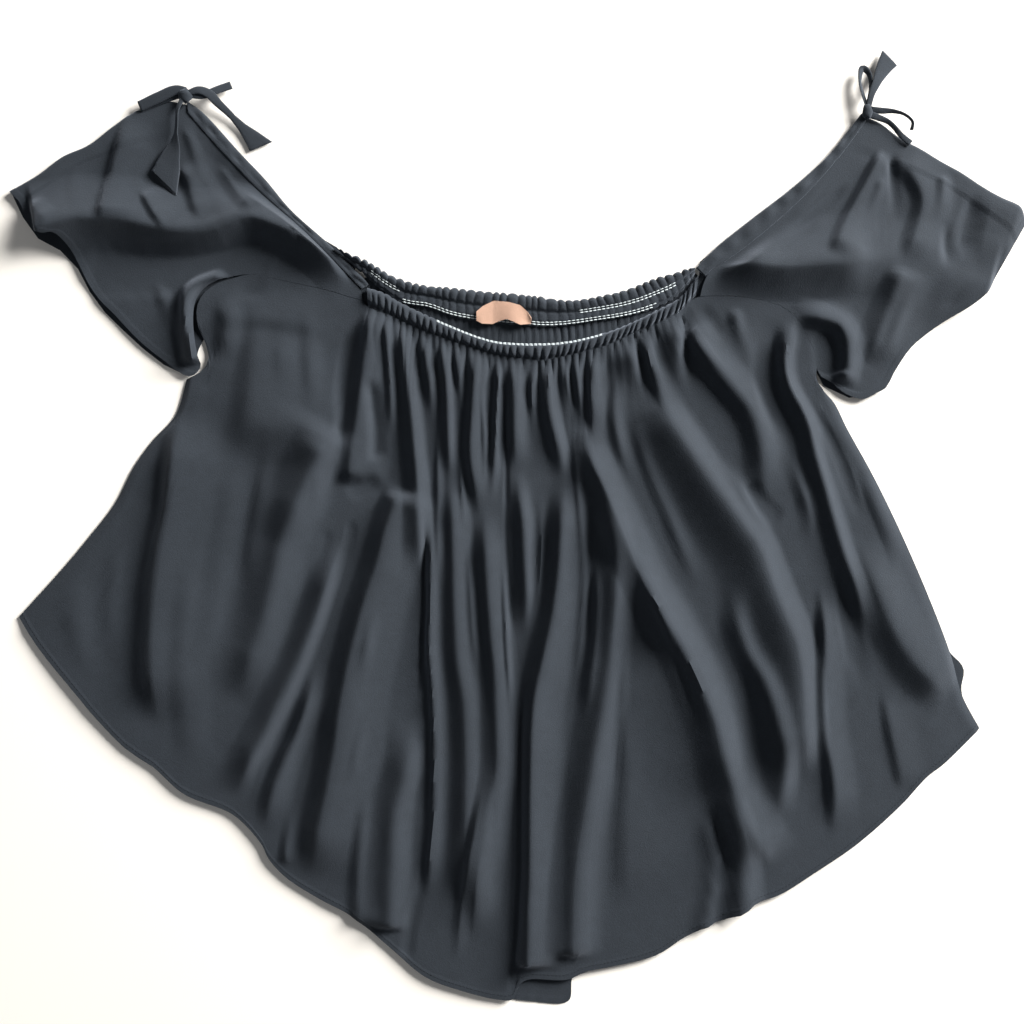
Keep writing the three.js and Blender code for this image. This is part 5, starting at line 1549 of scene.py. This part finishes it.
# Each bow: its knot's place, size and turn, and the tape's runs. A run has its path, its widths and its rolls
# in degrees along the way, and how far its end is cut at a slant.
BOWS = {
    "left": {
        "knot": (-262.5, 343.6, 7.6), "size": (5.4, 5.6, 3.8), "turn": 0.4,
        "runs": [
            ([(-262, 347, 9), (-270, 348, 8.6), (-284, 342.4, 7.6), (-299.6, 335.6, 6.2)], (6, 8.6, 9, 8.4),
             (0, 0, 0, 0), 0),
            ([(-299.8, 335, 4.8), (-285, 341, 5), (-268, 345, 5.6)], (8, 8.4, 6), (0, 0, 0), 0),
            ([(-259, 344, 7.8), (-248, 344, 8), (-240, 347.5, 7), (-233, 350.5, 5.6), (-227, 353, 4.4)],
             (5, 6, 6, 6.5, 6.5), (0, 0, 0, 0, 0), 0),
            ([(-260, 345.4, 8.8), (-252, 347.6, 9.4), (-244, 345, 8.6), (-237, 338, 6.4), (-229, 330.6, 4.4),
              (-221, 322.4, 3), (-212, 313, 2.4), (-203.5, 304.6, 2.2)],
             (5, 7, 7.5, 6, 5, 7.5, 13, 18), (0, -12, -8, 0, 0, 0, 0, 0), 3.4),
            ([(-264.6, 341, 9), (-268.4, 333, 9.6), (-269.6, 318, 9.2), (-271.6, 304, 8.8), (-275.6, 291, 8.4),
              (-279.6, 274, 8)],
             (4, 4, 5, 13, 20, 24), (0, 50, 46, 12, 0, 0), 5),
        ],
    },
    "right": {
        "knot": (279.4, 332, 7.0), "size": (4.0, 6.2, 3.4), "turn": 1.2,
        "runs": [
            ([(279, 335, 7.6), (276, 344, 7.4), (273.6, 356, 6.4), (275.6, 366, 5.6), (280.6, 362.6, 5.4),
              (282.4, 352, 6), (280.6, 339, 6.8)],
             (5, 4.5, 4, 5.5, 4, 3.6, 4.5), (40, 45, 50, 20, 40, 50, 40), 0),
            ([(280, 335, 8.8), (282, 344, 9.6), (286, 353, 8.6), (291, 363, 6), (298, 375, 3.6)],
             (4.6, 5.4, 7.5, 12, 16.5), (10, 0, 0, 0, 0), 2.5),
            ([(282, 332.6, 7.8), (290, 331.6, 8), (300, 331.2, 7.6), (309, 328.8, 7.2), (315.4, 323, 6.8),
              (314.6, 316.6, 6.6)],
             (5, 5, 4, 3, 2.6, 3.4), (20, 20, 40, 60, 60, 40), 0),
            ([(281, 329, 7.2), (288, 326.4, 7.2), (296, 323, 7), (301, 318.4, 7), (306, 312.6, 6.8),
              (314, 306, 6.6)],
             (6, 5, 4, 4, 4.6, 5), (10, 10, 30, 30, 10, 0), 0),
        ],
    },
}


def knot_rings(centre, size, turn):
    """A small knot: a rounded lump with the tape's wraps round it."""
    rings = []
    for v in np.linspace(0.06, math.pi - 0.06, 18):
        row = []
        for a in np.linspace(0, 2 * math.pi, 28, endpoint=False):
            swell = 1 + 0.10 * math.cos(2 * a + 3.2 * math.cos(v) + turn) + 0.05 * math.sin(5 * v + a)
            row.append([
                centre[0] + size[0] * swell * math.sin(v) * math.cos(a),
                centre[1] + size[1] * swell * math.cos(v),
                centre[2] + size[2] * swell * math.sin(v) * math.sin(a),
            ])
        rings.append(row)
    return rings


# A slanted end: where its direction is taken from, where the slant starts and over what share it grows, and
# the width that it is given for.
SLANT_BACK = 0.97
SLANT_FROM = 0.8
SLANT_FADE = 0.2
SLANT_WIDTH = 8

# The tape's flat width in metres, and the least share of a flat sheet that its area may be.
TAPE_WIDTH = 0.012
LEAST_AREA = 0.31


def slanted(rings, line, slant):
    """A tape's rings with its far end drawn out on one side."""
    t = np.linspace(0, 1, len(rings))
    ahead = unit(line.at(np.array(1.0)) - line.at(np.array(SLANT_BACK)))
    across = (rings - line.at(t)[:, None]) @ np.cross([0, 0, 1], ahead)
    grown = ease((t - SLANT_FROM) / SLANT_FADE)[:, None]
    return rings + ahead * (across / SLANT_WIDTH * grown * slant)[..., None]


class SWINGTOP_OT_ties(PieceOperator):
    """Builds the tied bow on each shoulder: knot, loops and cut ends"""

    bl_idname = "swing_top.ties"
    bl_label = "Shoulder ties"

    def build(self, s):
        for side, bow in BOWS.items():
            parts = [tube("knot", knot_rings(bow["knot"], bow["size"], bow["turn"]))]
            length = area = 0
            for path, widths, roll, slant in bow["runs"]:
                line = Line(path)
                length += line.length
                area += line.length * np.mean(widths)
                rings = tape_points(line, widths, roll)
                parts.append(tube("run", slanted(rings, line, slant) if slant else rings))
            tie = dress(joined(f"tie_{side}_tape", parts), cloth(), "tie", f"tie_{side}")
            flat = (TAPE_WIDTH, round(length * MM, 3))
            area = min(max(area * MM * MM, LEAST_AREA * flat[0] * flat[1]), flat[0] * flat[1])


# The label's left end and width, its upper and lower edges as shares of the width with their places along Y,
# its height above the floor, how it rises to its upper edge and bulges, its ripple and its thickness.
LABEL_LEFT = -31.5
LABEL_WIDTH = 43.5
LABEL_TOP = ([0, 0.12, 0.32, 0.6, 0.8, 0.93, 1], [172, 176.4, 180.6, 179.4, 177, 172, 167])
LABEL_LOW = ([0, 0.1, 0.3, 0.42, 0.55, 0.68, 0.8, 1], [165, 162.6, 162.4, 164.6, 166.2, 164, 161.6, 162.6])
LABEL_HEIGHT = 6.4
LABEL_RISE = 2.2
LABEL_BULGE = 1.4
LABEL_RIPPLE = 0.5
LABEL_THICKNESS = 0.5


class SWINGTOP_OT_label(PieceOperator):
    """Builds the plain folded ribbon label inside the back neck"""

    bl_idname = "swing_top.label"
    bl_label = "Neck label"

    def build(self, s):
        u, v = np.meshgrid(np.linspace(0, 1, 48), np.linspace(0, 1, 22), indexing="ij")
        x = LABEL_LEFT + LABEL_WIDTH * u
        top, low = np.interp(u, *LABEL_TOP), np.interp(u, *LABEL_LOW)
        y = low + (top - low) * v
        bulge = np.sin(math.pi * np.clip((u - 0.3) / 0.7, 0, 1)) * (1 - 0.5 * v)
        z = LABEL_HEIGHT + LABEL_RISE * v + LABEL_BULGE * bulge + LABEL_RIPPLE * np.cos(9 * u) * (1 - v)
        label = shell("neck_ribbon", np.stack([x, y, z], axis=2), LABEL_THICKNESS)
        dress(label, ribbon(), "label", "neck_label")


# Place, size and colour of the soft light from the upper right and of the weak one opposite, in metres.
KEY_LIGHT = ((2.45, 1.75, 1.3), 1.5, (1.0, 0.985, 0.96))
FILL_LIGHT = ((-1.2, -0.6, 1.6), 1.6, (0.93, 0.96, 1.0))
FILL_POWER = 4
SKY = (0.96, 0.975, 1.0, 1)
SKY_STRENGTH = 0.11

# The floor's size, the middle and the width of what the camera sees, and its sensor and lens in millimetres.
FLOOR_SIZE = 8
VIEW_MIDDLE = (-0.0032, 0.0128)
VIEW_WIDTH = 0.8192
SENSOR = 36
LENS = 50


def area_light(name, power, place, size, colour):
    """A soft light that looks at the middle of the floor."""
    light = bpy.data.lights.new(name, "AREA")
    light.energy, light.size, light.color = power, size, colour
    lamp = bpy.data.objects.new(name, light)
    lamp.location = place
    lamp.rotation_euler = (-lamp.location).to_track_quat("-Z", "Y").to_euler()
    bpy.context.scene.collection.objects.link(lamp)


class SWINGTOP_OT_stage(PieceOperator):
    """Builds the pale floor, the soft studio light and the camera above"""

    bl_idname = "swing_top.stage"
    bl_label = "Floor, light and camera"

    def build(self, s):
        bpy.ops.mesh.primitive_plane_add(size=FLOOR_SIZE)
        floor = bpy.context.object
        floor.name = "floor"
        paint = bpy.data.materials.new("pale_floor")
        paint.use_nodes = True
        shader = paint.node_tree.nodes["Principled BSDF"]
        shader.inputs["Base Color"].default_value = (*s.floor_colour, 1)
        shader.inputs["Roughness"].default_value = 0.8
        shader.inputs["Specular IOR Level"].default_value = 0.1
        floor.data.materials.append(paint)
        area_light("key", s.key_power, *KEY_LIGHT)
        area_light("fill", FILL_POWER, *FILL_LIGHT)
        world = bpy.data.worlds.new("studio")
        world.use_nodes = True
        world.node_tree.nodes["Background"].inputs["Color"].default_value = SKY
        world.node_tree.nodes["Background"].inputs["Strength"].default_value = SKY_STRENGTH
        bpy.context.scene.world = world
        bpy.context.scene.view_settings.view_transform = "Standard"
        camera = bpy.data.cameras.new("camera")
        camera.sensor_width = SENSOR
        camera.lens = LENS
        seat = bpy.data.objects.new("camera", camera)
        seat.location = (*VIEW_MIDDLE, VIEW_WIDTH * LENS / SENSOR)
        bpy.context.scene.collection.objects.link(seat)
        bpy.context.scene.camera = seat


OPERATORS = (
    SWINGTOP_OT_stage,
    SWINGTOP_OT_back,
    SWINGTOP_OT_front,
    SWINGTOP_OT_sleeves,
    SWINGTOP_OT_neck,
    SWINGTOP_OT_shoulders,
    SWINGTOP_OT_ties,
    SWINGTOP_OT_label,
)


class SWINGTOP_PT_panel(bpy.types.Panel):
    """Lists the top's settings and the operators that build it"""

    bl_idname = "SWINGTOP_PT_panel"
    bl_label = "Swing top"
    bl_space_type = "VIEW_3D"
    bl_region_type = "UI"
    bl_category = "Swing top"

    def draw(self, context):
        for name in SwingTopSettings.__annotations__:
            self.layout.prop(context.scene.swing_top, name)
        for operator in OPERATORS:
            self.layout.operator(operator.bl_idname)


CLASSES = (SwingTopSettings, *OPERATORS, SWINGTOP_PT_panel)


def register():
    for cls in CLASSES:
        bpy.utils.register_class(cls)
    bpy.types.Scene.swing_top = bpy.props.PointerProperty(type=SwingTopSettings)


def unregister():
    del bpy.types.Scene.swing_top
    for cls in reversed(CLASSES):
        bpy.utils.unregister_class(cls)


def main():
    register()
    for operator in OPERATORS:
        family, name = operator.bl_idname.split(".")
        getattr(getattr(bpy.ops, family), name)()


if __name__ == "__main__":
    main()
